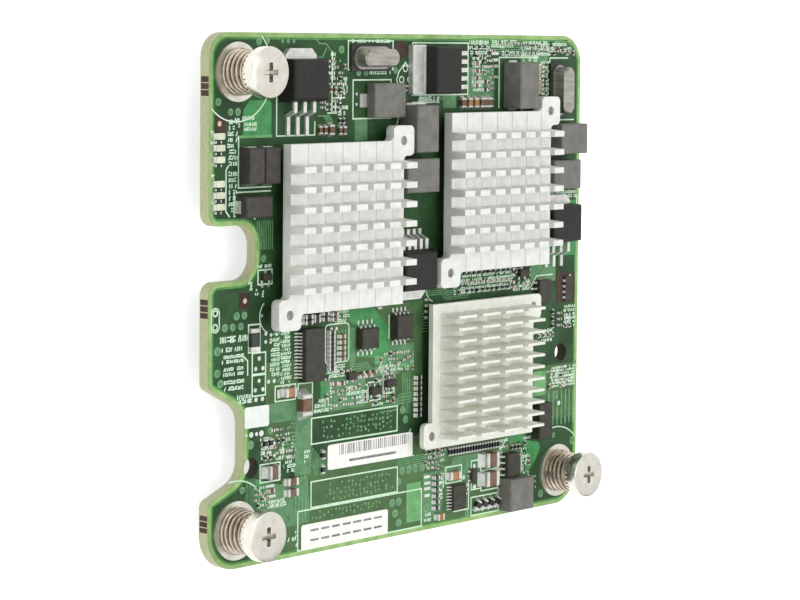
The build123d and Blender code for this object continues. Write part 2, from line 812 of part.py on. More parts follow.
for name, pieces in chip_parts.items():
    with BuildPart() as bodies:
        for (x, y), angle, length, width, height in pieces:
            with BuildSketch(Plane(Location((x, y, front), (0, 0, angle)))):
                Rectangle(length * (1 - 2 * end_cap_share), width)
            extrude(amount=height)
    bodies.part.label = name
    export_step(bodies.part, f"parts/{name}.step")

with BuildPart() as chip_part_ends:
    for pieces in chip_parts.values():
        for (x, y), angle, length, width, height in pieces:
            with BuildSketch(Plane(Location((x, y, front), (0, 0, angle)))):
                with GridLocations(length * (1 - end_cap_share), 0, 2, 1):
                    Rectangle(length * end_cap_share, width)
            extrude(amount=height)
chip_part_ends.part.label = "chip_part_ends"
export_step(chip_part_ends.part, "parts/chip_part_ends.step")

# Resistor network at the right edge
with BuildPart() as resistor_network:
    with BuildSketch(Plane.XY.offset(front)):
        with Locations(network_place):
            Rectangle(network_width, network_length)
    extrude(amount=resistor_height)
resistor_network.part.label = "resistor_network"
export_step(resistor_network.part, "parts/resistor_network.step")

# Decoupling capacitors on the back, under each package
decoupling_places = [
    (x + dx, y + dy)
    for x, y in (sink_left_place, sink_right_place, sink_lower_place)
    for dx in (-decoupling_spacing_x, 0, decoupling_spacing_x)
    for dy in (-decoupling_spacing_y, decoupling_spacing_y)
]
with BuildPart() as decoupling:
    with BuildSketch(Plane.XY.offset(back)):
        with Locations(*decoupling_places):
            Rectangle(decoupling_length, decoupling_width)
    extrude(amount=-decoupling_width)
decoupling.part.label = "decoupling_capacitors"
export_step(decoupling.part, "parts/decoupling_capacitors.step")

# Power block beside the lower heatsink
with BuildPart() as power_block:
    with BuildSketch(Plane.XY.offset(front)):
        with Locations(power_block_place):
            Rectangle(power_block_width, power_block_length)
    extrude(amount=power_block_height)
    chamfer(power_block.faces().sort_by(Axis.Z)[-1].edges(), chip_chamfer)
power_block.part.label = "power_block"
export_step(power_block.part, "parts/power_block.step")

# Paper labels, left blank
with BuildPart() as blank_labels:
    with BuildSketch(Plane.XY.offset(front)):
        with Locations(label_upper_place, label_lower_place):
            RectangleRounded(label_length, label_width, label_corner_radius)
    extrude(amount=label_thickness)
blank_labels.part.label = "blank_labels"
export_step(blank_labels.part, "parts/blank_labels.step")
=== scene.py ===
# %% [markdown]
# # A mezzanine network card
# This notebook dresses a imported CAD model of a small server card. The CAD model gives every size
# and every place. Here the card gets its finishes, and the many small things a plain solid leaves
# out: solder mask, printed outlines, traces, solder balls, knurls and rows of tiny parts.

# %% Open the frame
import bpy
import math
import random
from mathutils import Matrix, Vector


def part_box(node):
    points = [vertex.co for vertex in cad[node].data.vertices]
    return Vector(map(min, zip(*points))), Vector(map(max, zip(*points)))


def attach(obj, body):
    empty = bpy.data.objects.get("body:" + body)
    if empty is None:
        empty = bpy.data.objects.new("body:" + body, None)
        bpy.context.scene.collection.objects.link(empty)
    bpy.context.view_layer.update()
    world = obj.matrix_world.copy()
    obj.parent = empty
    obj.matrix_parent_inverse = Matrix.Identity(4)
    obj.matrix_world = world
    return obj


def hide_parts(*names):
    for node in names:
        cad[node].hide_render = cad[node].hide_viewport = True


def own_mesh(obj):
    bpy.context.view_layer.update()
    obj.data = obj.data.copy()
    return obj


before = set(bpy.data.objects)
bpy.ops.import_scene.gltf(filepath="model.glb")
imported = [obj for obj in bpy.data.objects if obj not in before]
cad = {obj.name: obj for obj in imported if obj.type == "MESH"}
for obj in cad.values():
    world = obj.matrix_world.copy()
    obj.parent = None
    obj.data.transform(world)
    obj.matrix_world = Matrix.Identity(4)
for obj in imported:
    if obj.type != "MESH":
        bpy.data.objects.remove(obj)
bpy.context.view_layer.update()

# %% [markdown]
# Blender works in metres and a card is drawn in millimetres, so one factor does the changing.
# The board's two faces carry nearly everything else. Their levels are read from the CAD board.

# %% Measure the board
MM = 0.001
board_low, board_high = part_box("circuit_board")
LEFT, BOTTOM, BACK = (value / MM for value in board_low)
RIGHT, TOP, FRONT = (value / MM for value in board_high)
print(f"board {RIGHT - LEFT:.1f} x {TOP - BOTTOM:.1f} mm, from z {BACK:.2f} to {FRONT:.2f}")


def middle_of(name):
    """The middle of a CAD solid, seen from above, in millimetres."""
    low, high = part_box(name)
    return (low.x + high.x) / 2 / MM, (low.y + high.y) / 2 / MM


# %% [markdown]
# Small parts could be cubes with a bevel modifier, one object each. There are hundreds of them, so
# it is lighter to collect plain points and faces, and to make one mesh of all that share a finish.
# Every form here is a loft: rings of points at rising levels, joined by quads and closed at both ends.

# %% Loft rings of points into closed solids
class Stock:
    """Points and faces of closed solids that will become one piece."""

    def __init__(self):
        self.points = []
        self.faces = []

    def loft(self, rings):
        base = len(self.points)
        count = len(rings[0])
        for ring in rings:
            self.points += [tuple(value * MM for value in point) for point in ring]
        for level in range(len(rings) - 1):
            low = base + level * count
            for step in range(count):
                after = (step + 1) % count
                self.faces.append((low + step, low + after, low + count + after, low + count + step))
        self.faces.append(tuple(range(base + count - 1, base - 1, -1)))
        last = base + (len(rings) - 1) * count
        self.faces.append(tuple(range(last, last + count)))

    def turned_over(self):
        """The same solids on the board's other face."""
        other = Stock()
        other.points = [(x, y, (FRONT + BACK) * MM - z) for x, y, z in self.points]
        other.faces = [face[::-1] for face in self.faces]
        return other


trial = Stock()
trial.loft([[(1, 0, level), (0, 1, level), (-1, 0, level), (0, -1, level)] for level in (0, 1)])
print("a loft of two squares has", len(trial.points), "points and", len(trial.faces), "faces")


# %% [markdown]
# A ring starts as a flat shape. Nearly all parts of a card are rectangles or circles from above, so
# two shapes do: a rectangle with rounded corners, and a circle. They could be read from a curve
# object, but a few sines make them exact and quick.

# %% Draw the flat shapes
def rounded(length, width, radius=0.0, steps=3):
    """A rectangle about the origin, with rounded corners where a radius is given."""
    a, b = length / 2, width / 2
    if radius <= 0:
        return [(a, -b), (a, b), (-a, b), (-a, -b)]
    points = []
    for cx, cy, start in ((a - radius, b - radius, 0), (radius - a, b - radius, 90),
                          (radius - a, radius - b, 180), (a - radius, radius - b, 270)):
        for step in range(steps + 1):
            angle = math.radians(start + 90 * step / steps)
            points.append((cx + radius * math.cos(angle), cy + radius * math.sin(angle)))
    return points


def circle(x, y, radius, steps=16):
    angles = [2 * math.pi * k / steps for k in range(steps)]
    return [(x + radius * math.cos(angle), y + radius * math.sin(angle)) for angle in angles]


def turned(points, x, y, angle):
    """Flat points turned by so many degrees and moved to a place."""
    c, s = math.cos(math.radians(angle)), math.sin(math.radians(angle))
    return [(x + px * c - py * s, y + px * s + py * c) for px, py in points]


def raised(points, level):
    return [(x, y, level) for x, y in points]


print(len(circle(0, 0, 1)), "points in a circle and", len(rounded(2, 1, 0.2)), "in a rounded rectangle")


# %% [markdown]
# A finished mesh needs a name, a finish and a body to ride on, and it may stand for CAD solids,
# which are then hidden. The next helper does all of that. Most pieces here lie on the board and
# ride on the card, so that is what it takes if nothing else is said.

# %% Make a piece from its stock
def make_piece(name, stock, finish, body="card", smooth=False, stands_for=()):
    mesh = bpy.data.meshes.new(name)
    mesh.from_pydata(stock.points, [], stock.faces)
    mesh.validate()
    if smooth:
        mesh.shade_smooth()
        mesh.set_sharp_from_angle(angle=math.radians(40))
    mesh.materials.append(finish)
    piece = bpy.data.objects.new(name, mesh)
    bpy.context.scene.collection.objects.link(piece)
    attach(piece, body)
    if stands_for:
        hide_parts(*stands_for)
    print(f"{name}: {len(mesh.polygons)} faces on {body}")
    return piece


# %% [markdown]
# A finish is a chain of nodes that ends in one Principled shader. A few links come up in every
# chain, so each gets a helper: noise that is tied to the object, a ramp from a value to a colour, a
# bump, and a bit of arithmetic. Colours are given as in a picture, from 0 to 255.

# %% The links of a finish
def link(tree, a, out, b, into):
    tree.links.new(a.outputs[out], b.inputs[into])


def new_finish(name):
    material = bpy.data.materials.new(name)
    material.use_nodes = True
    tree = material.node_tree
    return material, tree, tree.nodes["Principled BSDF"]


def noise(tree, scale, detail=2.0, stretch=None):
    """Noise in the object's own space; the scale is in cells per metre."""
    coordinates = tree.nodes.new("ShaderNodeTexCoord")
    node = tree.nodes.new("ShaderNodeTexNoise")
    node.inputs["Scale"].default_value = scale
    node.inputs["Detail"].default_value = detail
    if stretch:
        mapping = tree.nodes.new("ShaderNodeMapping")
        mapping.inputs["Scale"].default_value = stretch
        link(tree, coordinates, "Object", mapping, "Vector")
        link(tree, mapping, "Vector", node, "Vector")
    else:
        link(tree, coordinates, "Object", node, "Vector")
    return node


def srgb(r, g, b):
    """A colour as a picture's 0 to 255 values, as the linear light that a shader reads."""
    return tuple((v / 255 / 12.92) if v <= 10 else ((v / 255 + 0.055) / 1.055) ** 2.4 for v in (r, g, b))


def ramp(tree, source, stops):
    """Colours at given places along a value."""
    node = tree.nodes.new("ShaderNodeValToRGB")
    elements = node.color_ramp.elements
    while len(elements) < len(stops):
        elements.new(0.5)
    for element, (place, colour) in zip(elements, stops):
        element.position = place
        element.color = (*srgb(*colour), 1)
    tree.links.new(source, node.inputs["Fac"])
    return node


def bump(tree, shader, source, strength, distance):
    node = tree.nodes.new("ShaderNodeBump")
    node.inputs["Strength"].default_value = strength
    node.inputs["Distance"].default_value = distance * MM
    tree.links.new(source, node.inputs["Height"])
    link(tree, node, "Normal", shader, "Normal")


def arithmetic(tree, operation, number=None):
    node = tree.nodes.new("ShaderNodeMath")
    node.operation = operation
    if number is not None:
        node.inputs[1].default_value = number
    return node


print("a picture's middle grey is", [round(value, 3) for value in srgb(128, 128, 128)], "in linear light")


# %% [markdown]
# Most finishes here share a pattern: two close colours mixed by coarse noise, and a fine bump that
# also varies the gloss. One helper makes that chain, and the numbers given to it make steel, moulded
# epoxy, ink or ceramic of it. Separate chains would say the same thing nearly forty times.

# %% A finish from two tones and a grain
GLOSS_SPREAD = 0.07


def grained(name, dark, light, rough, metallic=0.0, cells=900, grain=0.25, stretch=None, specular=0.5,
            coat=0.0):
    material, tree, shader = new_finish(name)
    tone = noise(tree, cells * 0.35, 3.0, stretch)
    colours = ramp(tree, tone.outputs["Fac"], [(0.35, dark), (0.65, light)])
    link(tree, colours, "Color", shader, "Base Color")
    fine = noise(tree, cells * 4, 2.0, stretch)
    bump(tree, shader, fine.outputs["Fac"], grain, 0.02)
    span = tree.nodes.new("ShaderNodeMapRange")
    span.inputs["To Min"].default_value = rough - GLOSS_SPREAD
    span.inputs["To Max"].default_value = rough + GLOSS_SPREAD
    link(tree, fine, "Fac", span, "Value")
    link(tree, span, "Result", shader, "Roughness")
    shader.inputs["Metallic"].default_value = metallic
    shader.inputs["Specular IOR Level"].default_value = specular
    shader.inputs["Coat Weight"].default_value = coat
    return material


def dress(finish, *names):
    """Gives CAD solids their finish, in their own material slots."""
    for name in names:
        solid = cad[name]
        if not solid.material_slots:
            solid.data.materials.append(finish)
        for slot in solid.material_slots:
            slot.link = "OBJECT"
            slot.material = finish
    print(finish.name, "on", ", ".join(names))


# %% [markdown]
# The bare card is glass cloth in epoxy, cut on a router, with a green mask on both faces. One
# material can serve the whole solid: where a face looks sideways it is cut laminate, and elsewhere
# it is mask. Noise mixes two close greens in soft-edged patches, because the mask isn't even.

# %% Solder mask and cut laminate
def solder_mask(name, dark, light, laminate):
    material, tree, shader = new_finish(name)
    patches = noise(tree, 130, 4.0)
    fine = noise(tree, 2600, 3.0)
    blend = arithmetic(tree, "MULTIPLY_ADD", 0.35)
    link(tree, fine, "Fac", blend, 0)
    link(tree, patches, "Fac", blend, 2)
    green = ramp(tree, blend.outputs["Value"], [(0.5, dark), (0.62, light), (0.8, dark)])
    layers = noise(tree, 900, 3.0, (1, 1, 6))
    pale_layer = [value + 24 for value in laminate]
    edge = ramp(tree, layers.outputs["Fac"], [(0.3, laminate), (0.7, pale_layer)])
    geometry = tree.nodes.new("ShaderNodeNewGeometry")
    parts = tree.nodes.new("ShaderNodeSeparateXYZ")
    link(tree, geometry, "Normal", parts, "Vector")
    facing = arithmetic(tree, "ABSOLUTE")
    link(tree, parts, "Z", facing, 0)
    flat = arithmetic(tree, "GREATER_THAN", 0.5)
    link(tree, facing, "Value", flat, 0)
    mix = tree.nodes.new("ShaderNodeMix")
    mix.data_type = "RGBA"
    link(tree, flat, "Value", mix, "Factor")
    link(tree, edge, "Color", mix, "A")
    link(tree, green, "Color", mix, "B")
    link(tree, mix, "Result", shader, "Base Color")
    bump(tree, shader, fine.outputs["Fac"], 0.12, 0.03)
    shader.inputs["Roughness"].default_value = 0.5
    shader.inputs["Specular IOR Level"].default_value = 0.2
    return material


dress(solder_mask("mask_over_laminate", (40, 68, 40), (52, 88, 51), (186, 188, 148)), "circuit_board")

# %% [markdown]
# The metals differ mostly in roughness. The heatsinks are sawn from an extrusion and anodised, so
# they look almost white. Nickel plate on the screws is bright, tin on the leads is duller, and the
# crystals' cans are drawn steel, whose grain is stretched one way. All are one chain with other
# numbers, so that a finish is a line that can be read and changed by itself.

# %% Metals
sink_metal = grained("anodised_aluminium", (222, 223, 218), (233, 234, 229), 0.55, 0.2, cells=1600, grain=0.2)
blade_metal = grained("cast_aluminium", (224, 226, 214), (234, 236, 226), 0.55, 0.1, cells=1600, grain=0.3)
nickel = grained("nickel_plate", (204, 200, 190), (216, 213, 203), 0.26, 1.0, cells=1500, grain=0.12)
flange_metal = grained("flange_plate", (206, 202, 190), (226, 222, 210), 0.32, 0.75, cells=1500, grain=0.12)
tin = grained("tinned_metal", (204, 204, 198), (228, 228, 222), 0.38, 0.5, cells=1800, grain=0.2)
lead_metal = grained("lead_plate", (206, 206, 202), (226, 226, 222), 0.4, 0.45, cells=1800, grain=0.2)
solder = grained("solder", (198, 200, 194), (226, 228, 222), 0.34, 0.55, cells=1500)
gold_pad = grained("plated_copper", (196, 186, 150), (226, 218, 186), 0.3, 0.6, cells=2000)
pin_metal = grained("pin_metal", (134, 132, 128), (170, 168, 164), 0.4, 0.9, cells=1500)
can_steel = grained("drawn_steel", (150, 148, 142), (176, 173, 166), 0.4, 0.9, cells=700, stretch=(1, 6, 1))
dress(sink_metal, "heatsink_left", "heatsink_right")
dress(blade_metal, "heatsink_lower")
dress(pin_metal, "heatsink_pins")
dress(flange_metal, "screw_ferrules")
dress(gold_pad, "connector_contacts")
dress(lead_metal, "chip_leads")
dress(can_steel, "crystal_cans")

# %% [markdown]
# Chips are moulded in epoxy filled with silica, which leaves a fine grain and little gloss. Ferrite
# is pressed powder and is greyer and coarser. The chips and the plastics are all near black, so it
# is their small differences in tone that tell one part from another.

# %% Moulded and pressed bodies
epoxy = grained("moulded_epoxy", (25, 24, 21), (35, 34, 30), 0.55, cells=2200, grain=0.5, specular=0.35)
chip_epoxy = grained("chip_epoxy", (47, 45, 36), (60, 58, 47), 0.5, cells=2200, grain=0.4, specular=0.4)
tantalum_epoxy = grained("capacitor_epoxy", (50, 46, 42), (64, 59, 54), 0.5, cells=2000, grain=0.4)
ferrite = grained("ferrite", (107, 106, 100), (122, 121, 114), 0.6, cells=1400, grain=0.5, specular=0.35)
black_plastic = grained("connector_plastic", (30, 30, 31), (40, 40, 41), 0.5, cells=1800)
base_plastic = grained("base_plastic", (36, 36, 34), (50, 49, 46), 0.55, cells=1500)
regulators = ["regulator_top_left", "regulator_top_middle", "regulator_right_edge", "regulator_centre"]
inductors = [name for name in cad if name.startswith("inductor_") and name != "inductor_terminals"]
dress(epoxy, *regulators)
dress(tin, *[name + "_leads" for name in regulators])
dress(ferrite, *inductors)
dress(chip_epoxy, "network_controller_left", "network_controller_right", "bus_bridge", "transceiver_chip",
      "memory_chip", "clock_chip", "buffer_chip", "driver_chip", "monitor_chip", "transistor", "power_block",
      "resistor_network")
dress(tantalum_epoxy, "moulded_capacitors")
dress(tin, "inductor_terminals", "moulded_capacitor_terminals", "chip_part_ends")
dress(black_plastic, "connector_upper", "connector_lower")
dress(base_plastic, "crystal_bases")

# %% [markdown]
# Ceramic capacitors are tan or brown, resistors have a black film, and the lights have a clear
# lens. The thermal pads are a soft grey rubber, and the labels are matt paper. A clear lens could be
# real glass, but it is so small that a pale gloss under a thin coat does as well and renders faster.

# %% Ceramics, lenses, pads and paper
tan_ceramic = grained("tan_ceramic", (150, 108, 66), (178, 132, 84), 0.5, cells=1800)
brown_ceramic = grained("brown_ceramic", (96, 72, 54), (122, 94, 72), 0.5, cells=1800)
fuse_body = grained("fuse_body", (36, 46, 40), (48, 58, 50), 0.45, cells=1500)
# Black resistor film, also used as painted shade in the drilled holes
black_film_and_hole_shade = grained("resistor_film_and_hole_shade", (26, 26, 28), (40, 40, 42), 0.42, cells=2000)
lens = grained("indicator_lens", (196, 206, 176), (222, 228, 200), 0.25, cells=1500, coat=0.3)
gap_pad = grained("thermal_gap_pad", (150, 154, 160), (172, 176, 182), 0.75, cells=1500)
paper = grained("label_paper", (238, 237, 231), (248, 247, 242), 0.62, cells=2600, grain=0.3, specular=0.25)
dress(tan_ceramic, "ceramic_capacitors", "decoupling_capacitors")
dress(fuse_body, "fuse")
dress(black_film_and_hole_shade, "resistors")
dress(lens, "indicator_lights")
dress(gap_pad, "thermal_pads")
dress(paper, "blank_labels")

# %% [markdown]
# Pressed and machined parts have tiny rounds that catch the light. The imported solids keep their
# seams open, so a weld joins them first, and then a bevel rounds every edge that turns sharply. Both
# are modifiers, which leave the solid's own mesh as it is.

# %% Soften the edges of CAD solids
def soften(width, *names):
    for name in names:
        weld = cad[name].modifiers.new("join_seams", "WELD")
        weld.merge_threshold = 0.001 * MM
        edge = cad[name].modifiers.new("soft_edges", "BEVEL")
        edge.width = width * MM
        edge.segments = 2
        edge.limit_method = "ANGLE"
        edge.angle_limit = math.radians(35)
        edge.use_clamp_overlap = True
    print(f"edges of {width} mm on", ", ".join(names))


soften(0.16, "heatsink_left", "heatsink_right")
soften(0.1, "heatsink_lower", *inductors, *regulators)

# %% [markdown]
# A captive screw is turned from bar: a cross-slotted head, a knurled grip under it, a plain shank
# and a short thread. A lathe is a loft whose rings are circles, and a knurl is a ring whose radius
# steps in and out. The cross slot is one more ring: it is a cross seen from the middle.

# %% Rings for a lathe
STEPS = 112


def ring_of(x, y, radius_at, level):
    ring = []
    for k in range(STEPS):
        angle, radius = 2 * math.pi * k / STEPS, radius_at(k)
        ring.append((x + radius * math.cos(angle), y + radius * math.sin(angle), level))
    return ring


def plain(radius):
    return lambda k: radius


def knurled(radius, depth):
    return lambda k: radius if k % 4 < 2 else radius - depth


def cross(half_span, half_width):
    def radius_at(k):
        angle = 2 * math.pi * k / STEPS
        c, s = abs(math.cos(angle)) + 1e-9, abs(math.sin(angle)) + 1e-9
        return max(min(half_span / c, half_width / s), min(half_width / c, half_span / s))
    return radius_at


print(STEPS, "points in a ring, and", STEPS // 4, "ribs on a knurl")


# %% [markdown]
# The screw's profile is a list of rings from the tip of the thread to the bottom of the slot. All
# three screws are the same, and each rides on its own body, so that it turns and goes down alone.

# %% Turn the three captive screws
GRIP_UNDER, HEAD_UNDER, HEAD_TOP = 14.1, 15.1, 17.4
THREAD_FOOT, THREAD_PITCH, CREST_TO_ROOT, THREAD_TURNS = 4.7, 0.27, 0.13, 9


def captive_screw(x, y):
    # The thread
    rings = [(plain(1.1), 4.3), (plain(1.42), 4.6)]
    for turn in range(THREAD_TURNS):
        crest = THREAD_FOOT + THREAD_PITCH * turn
        rings += [(plain(1.5), crest), (plain(1.3), crest + CREST_TO_ROOT)]
    # The collar that keeps the screw in its ferrule, and the shank
    rings += [(plain(2.7), 7.05), (plain(2.7), 7.95), (plain(2.23), 7.95), (plain(2.23), GRIP_UNDER)]
    # The knurled grip and the neck over it
    rings += [(knurled(4.1, 0.15), GRIP_UNDER), (knurled(4.3, 0.22), GRIP_UNDER + 0.15),
              (knurled(4.3, 0.22), HEAD_UNDER - 0.3), (plain(3.9), HEAD_UNDER - 0.15),
              (plain(3.9), HEAD_UNDER)]
    # The head, with rounded edges
    rings += [(plain(4.5), HEAD_UNDER), (plain(4.75), HEAD_UNDER + 0.25), (plain(4.75), HEAD_TOP - 0.35),
              (plain(4.65), HEAD_TOP - 0.12), (plain(4.4), HEAD_TOP)]
    # The cross slot, which narrows as it goes down
    rings += [(cross(1.8, 0.48), HEAD_TOP), (cross(1.6, 0.38), HEAD_TOP - 0.9),
              (cross(0.9, 0.3), HEAD_TOP - 1.5)]
    stock = Stock()
    stock.loft([ring_of(x, y, radius_at, level) for radius_at, level in rings])
    return stock


screws = {place: middle_of(f"captive_screw_{place}") for place in ("top_left", "bottom_left", "bottom_right")}
for place, (x, y) in screws.items():
    make_piece(f"knurled_screw_{place}", captive_screw(x, y), nickel, f"screw_{place}", True,
               [f"captive_screw_{place}"])

# %% [markdown]
# Each spring is wire wound on a cone, with its first and last turns closed. A curve with a bevel
# could draw it, but a loft along the helix gives a plain mesh, and each spring keeps a mesh of its own.
# At each point the ring of the wire stands across the helix.

# %% Wind the springs
FLANGE, WIRE, SEAT_GAP, PRESS = 0.6, 0.33, 0.02, 2.2
SPRING_FOOT, SPRING_HEAD = FRONT + FLANGE, GRIP_UNDER
FOOT_RADIUS, HEAD_RADIUS = 4.15, 3.5
TURNS, CLOSED_TURNS, POINTS_PER_TURN, WIRE_SIDES = 5.6, 0.6, 40, 8
spring_wire = grained("spring_wire", (172, 158, 142), (206, 194, 178), 0.24, 1.0, cells=1500, grain=0.12)


def wire_along(stock, path):
    rings = []
    for number, point in enumerate(path):
        before, after = path[max(number - 1, 0)], path[min(number + 1, len(path) - 1)]
        along = (Vector(after) - Vector(before)).normalized()
        across = along.cross(Vector((0, 0, 1))).normalized()
        upward = across.cross(along)
        rings.append([tuple(Vector(point) + WIRE * (math.cos(a) * across + math.sin(a) * upward))
                      for a in [2 * math.pi * side / WIRE_SIDES for side in range(WIRE_SIDES)]])
    stock.loft(rings)


def spring_path(x, y):
    path = []
    rise = SPRING_HEAD - SPRING_FOOT - 2 * (WIRE + SEAT_GAP)
    for step in range(int(TURNS * POINTS_PER_TURN) + 1):
        turn = step / POINTS_PER_TURN
        share = min(max((turn - CLOSED_TURNS) / (TURNS - 2 * CLOSED_TURNS), 0), 1)
        angle, radius = 2 * math.pi * turn, FOOT_RADIUS + (HEAD_RADIUS - FOOT_RADIUS) * share
        path.append((x + radius * math.cos(angle), y + radius * math.sin(angle),
                     SPRING_FOOT + WIRE + SEAT_GAP + rise * share))
    return path


for place, (x, y) in screws.items():
    stock = Stock()
    wire_along(stock, spring_path(x, y))
    coil = make_piece(f"wound_spring_{place}", stock, spring_wire, "card", True,
                      [f"screw_spring_{place}"])
    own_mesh(coil)

# %% [markdown]
# Under each controller the outer rows of solder balls show as a row of beads. Each bead is a short
# barrel, squeezed between the board and the package. Inner rows can't be seen, so two are enough.

# %% Set the solder balls
BALL_PITCH, BALL_ROWS = 1.0, 2
PACKAGES = {"network_controller_left": 26, "network_controller_right": 26, "bus_bridge": 24}
balls = Stock()
for name, count in PACKAGES.items():
    cx, cy = middle_of(name)
    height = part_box(name)[0].z / MM - FRONT
    for row in range(count):
        for column in range(count):
            if min(row, column, count - 1 - row, count - 1 - column) >= BALL_ROWS:
                continue
            x = cx + BALL_PITCH * (column - (count - 1) / 2)
            y = cy + BALL_PITCH * (row - (count - 1) / 2)
            balls.loft([raised(circle(x, y, radius, 8), FRONT + height * share)
                        for radius, share in ((0.26, 0), (0.37, 0.3), (0.37, 0.7), (0.26, 1))])
make_piece("solder_balls", balls, solder, smooth=True, stands_for=["solder_ball_fields"])

# %% [markdown]
# Much of what is drawn on the card follows its edge. The outline could be typed in again, but it is
# surer to read it from the CAD board's own top face: an edge that only one face uses is on a rim.
# The longest loop is the outline, and the others are holes.

# %% Read the board's outline
def loops_of_top(solid, level):
    """The rims of the solid's top face, as loops of flat points, with the widest last."""
    def key(vertex):
        return (round(vertex.co.x / MM, 3), round(vertex.co.y / MM, 3))

    mesh = solid.data
    edges = {}
    for face in mesh.polygons:
        if face.normal.z < 0.9 or abs(face.center.z / MM - level) > 0.01:
            continue
        points = [key(mesh.vertices[number]) for number in face.vertices]
        edges.update(dict.fromkeys(zip(points, points[1:] + points[:1])))
    follow = {a: b for a, b in edges if (b, a) not in edges}
    loops = []
    while follow:
        start, after = follow.popitem()
        loop = [start]
        while after != start:
            loop.append(after)
            after = follow.pop(after)
        loops.append(loop)
    return sorted(loops, key=lambda loop: max(x for x, y in loop) - min(x for x, y in loop))


*hole_loops, board_outline = loops_of_top(cad["circuit_board"], FRONT)
holes = []
for loop in hole_loops:
    xs, ys = [x for x, y in loop], [y for x, y in loop]
    holes.append(((min(xs) + max(xs)) / 2, (min(ys) + max(ys)) / 2, (max(xs) - min(xs)) / 2))
print(len(board_outline), "points round the board and", len(holes), "holes")

# %% [markdown]
# A line that runs beside the edge is the outline moved inwards. Where a hole is near the edge, the
# moved line would run over it, so its points are pushed clear. Long sides are divided first, so that
# there are points to push.

# %% Move a loop inwards
HOLE_MARGIN, SHARPEST_BEND = 0.06, 0.5


def dense(loop, longest=0.5):
    """The loop with its long sides divided."""
    result = []
    for (x, y), (ax, ay) in zip(loop, loop[1:] + loop[:1]):
        parts = max(1, math.ceil(math.hypot(ax - x, ay - y) / longest))
        result += [(x + (ax - x) * k / parts, y + (ay - y) * k / parts) for k in range(parts)]
    return result


def clear_of_holes(x, y):
    """The point itself, or the nearest point outside a hole."""
    for hx, hy, radius in holes:
        away, reach = math.hypot(x - hx, y - hy), radius + HOLE_MARGIN
        if away < reach:
            return hx + (x - hx) / away * reach, hy + (y - hy) / away * reach
    return x, y


def directions(points, points_after):
    return [Vector((bx - ax, by - ay)).normalized() for (ax, ay), (bx, by) in zip(points, points_after)]


def mitres(runs_before, runs_after):
    """How far each point moves for one step to the left, at the bends between the runs."""
    result = []
    for before, after in zip(runs_before, runs_after):
        normal = Vector((-before.y - after.y, before.x + after.x)).normalized()
        stretch = 1 / max(normal.dot(Vector((-before.y, before.x))), SHARPEST_BEND)
        result.append((normal.x * stretch, normal.y * stretch))
    return result


def moved_in(loop, distance):
    """The loop moved to its left, which is inwards where it runs anticlockwise."""
    runs = directions(loop, loop[1:] + loop[:1])
    return [(x + mx * distance, y + my * distance)
            for (x, y), (mx, my) in zip(loop, mitres(runs[-1:] + runs[:-1], runs))]


fine_outline = dense(board_outline)
print(len(fine_outline), "points round the board once divided")

# %% [markdown]
# Everything printed or etched on the face is a film far thinner than a hair. It is drawn here as
# flat strips and patches that stand a few hundredths of a millimetre proud. Each kind has its own
# level and each strip lies a hair above the last, so that no two films share a plane and flicker.

# %% Strips and flat patches
# The lowest level carries the patches of painted sheen
FILM = {"sheen": 0.007, "copper": 0.015, "bright": 0.025, "pale": 0.035, "trace": 0.045, "ring": 0.055,
        "dot": 0.065, "legend": 0.075, "pad": 0.09}
HAIR, HAIRS, FACES_OF_A_BLOCK = 0.0006, 12, 6


def film_top(stock, film):
    """The film's level, and up to eleven hairs more, so that crossings stay apart."""
    return FRONT + FILM[film] + HAIR * (len(stock.faces) // FACES_OF_A_BLOCK % HAIRS)


def patch(stock, points, film):
    stock.loft([raised(points, FRONT), raised(points, film_top(stock, film))])


def sides_of(path, width, closed):
    """The two sides of a strip that follows a path."""
    halves = (-width / 2, width / 2)
    if closed:
        return [[clear_of_holes(x, y) for x, y in moved_in(path, half)] for half in halves]
    runs = directions(path, path[1:])
    bends = mitres(runs[:1] + runs, runs + runs[-1:])
    return [[(x + mx * half, y + my * half) for (x, y), (mx, my) in zip(path, bends)] for half in halves]


def strip(stock, path, width, film, closed=False):
    top, base, count = film_top(stock, film), len(stock.points), len(path)
    for (ax, ay), (bx, by) in zip(*sides_of(path, width, closed)):
        section = ((ax, ay, FRONT), (bx, by, FRONT), (bx, by, top), (ax, ay, top))
        stock.points += [tuple(value * MM for value in point) for point in section]
    for number in range(count if closed else count - 1):
        here, there = base + 4 * number, base + 4 * ((number + 1) % count)
        for side in range(4):
            after = (side + 1) % 4
            stock.faces.append((here + side, here + after, there + after, there + side))
    if not closed:
        last = base + 4 * (count - 1)
        stock.faces += [(base + 3, base + 2, base + 1, base), (last, last + 1, last + 2, last + 3)]


print(len(FILM), "kinds of film, the highest", max(FILM.values()), "mm over the board")


# %% [markdown]
# The mask stops about a millimetre short of the edge, so a pale border of bare laminate runs round
# the card, with a brighter band of mask inside it. Both could be painted by distance in the board's
# material. As closed strips they follow every notch by themselves.

# %% The bare border
BORDER_MIDDLE, BORDER_WIDTH, BAND_MIDDLE, BAND_WIDTH = 0.45, 0.86, 1.05, 0.5


def green_mask(name, dark, light, cells=1500):
    return grained(name, dark, light, 0.5, cells=cells, specular=0.25)


bare_edge = grained("unmasked_laminate", (134, 170, 102), (160, 194, 124), 0.5, cells=1200, specular=0.3)
border, band = Stock(), Stock()
strip(border, moved_in(fine_outline, BORDER_MIDDLE), BORDER_WIDTH, "trace", True)
strip(band, moved_in(fine_outline, BAND_MIDDLE), BAND_WIDTH, "pale", True)
make_piece("bare_border", border, bare_edge)
make_piece("edge_band", band, green_mask("mask_by_the_edge", (66, 128, 62), (84, 148, 78)))
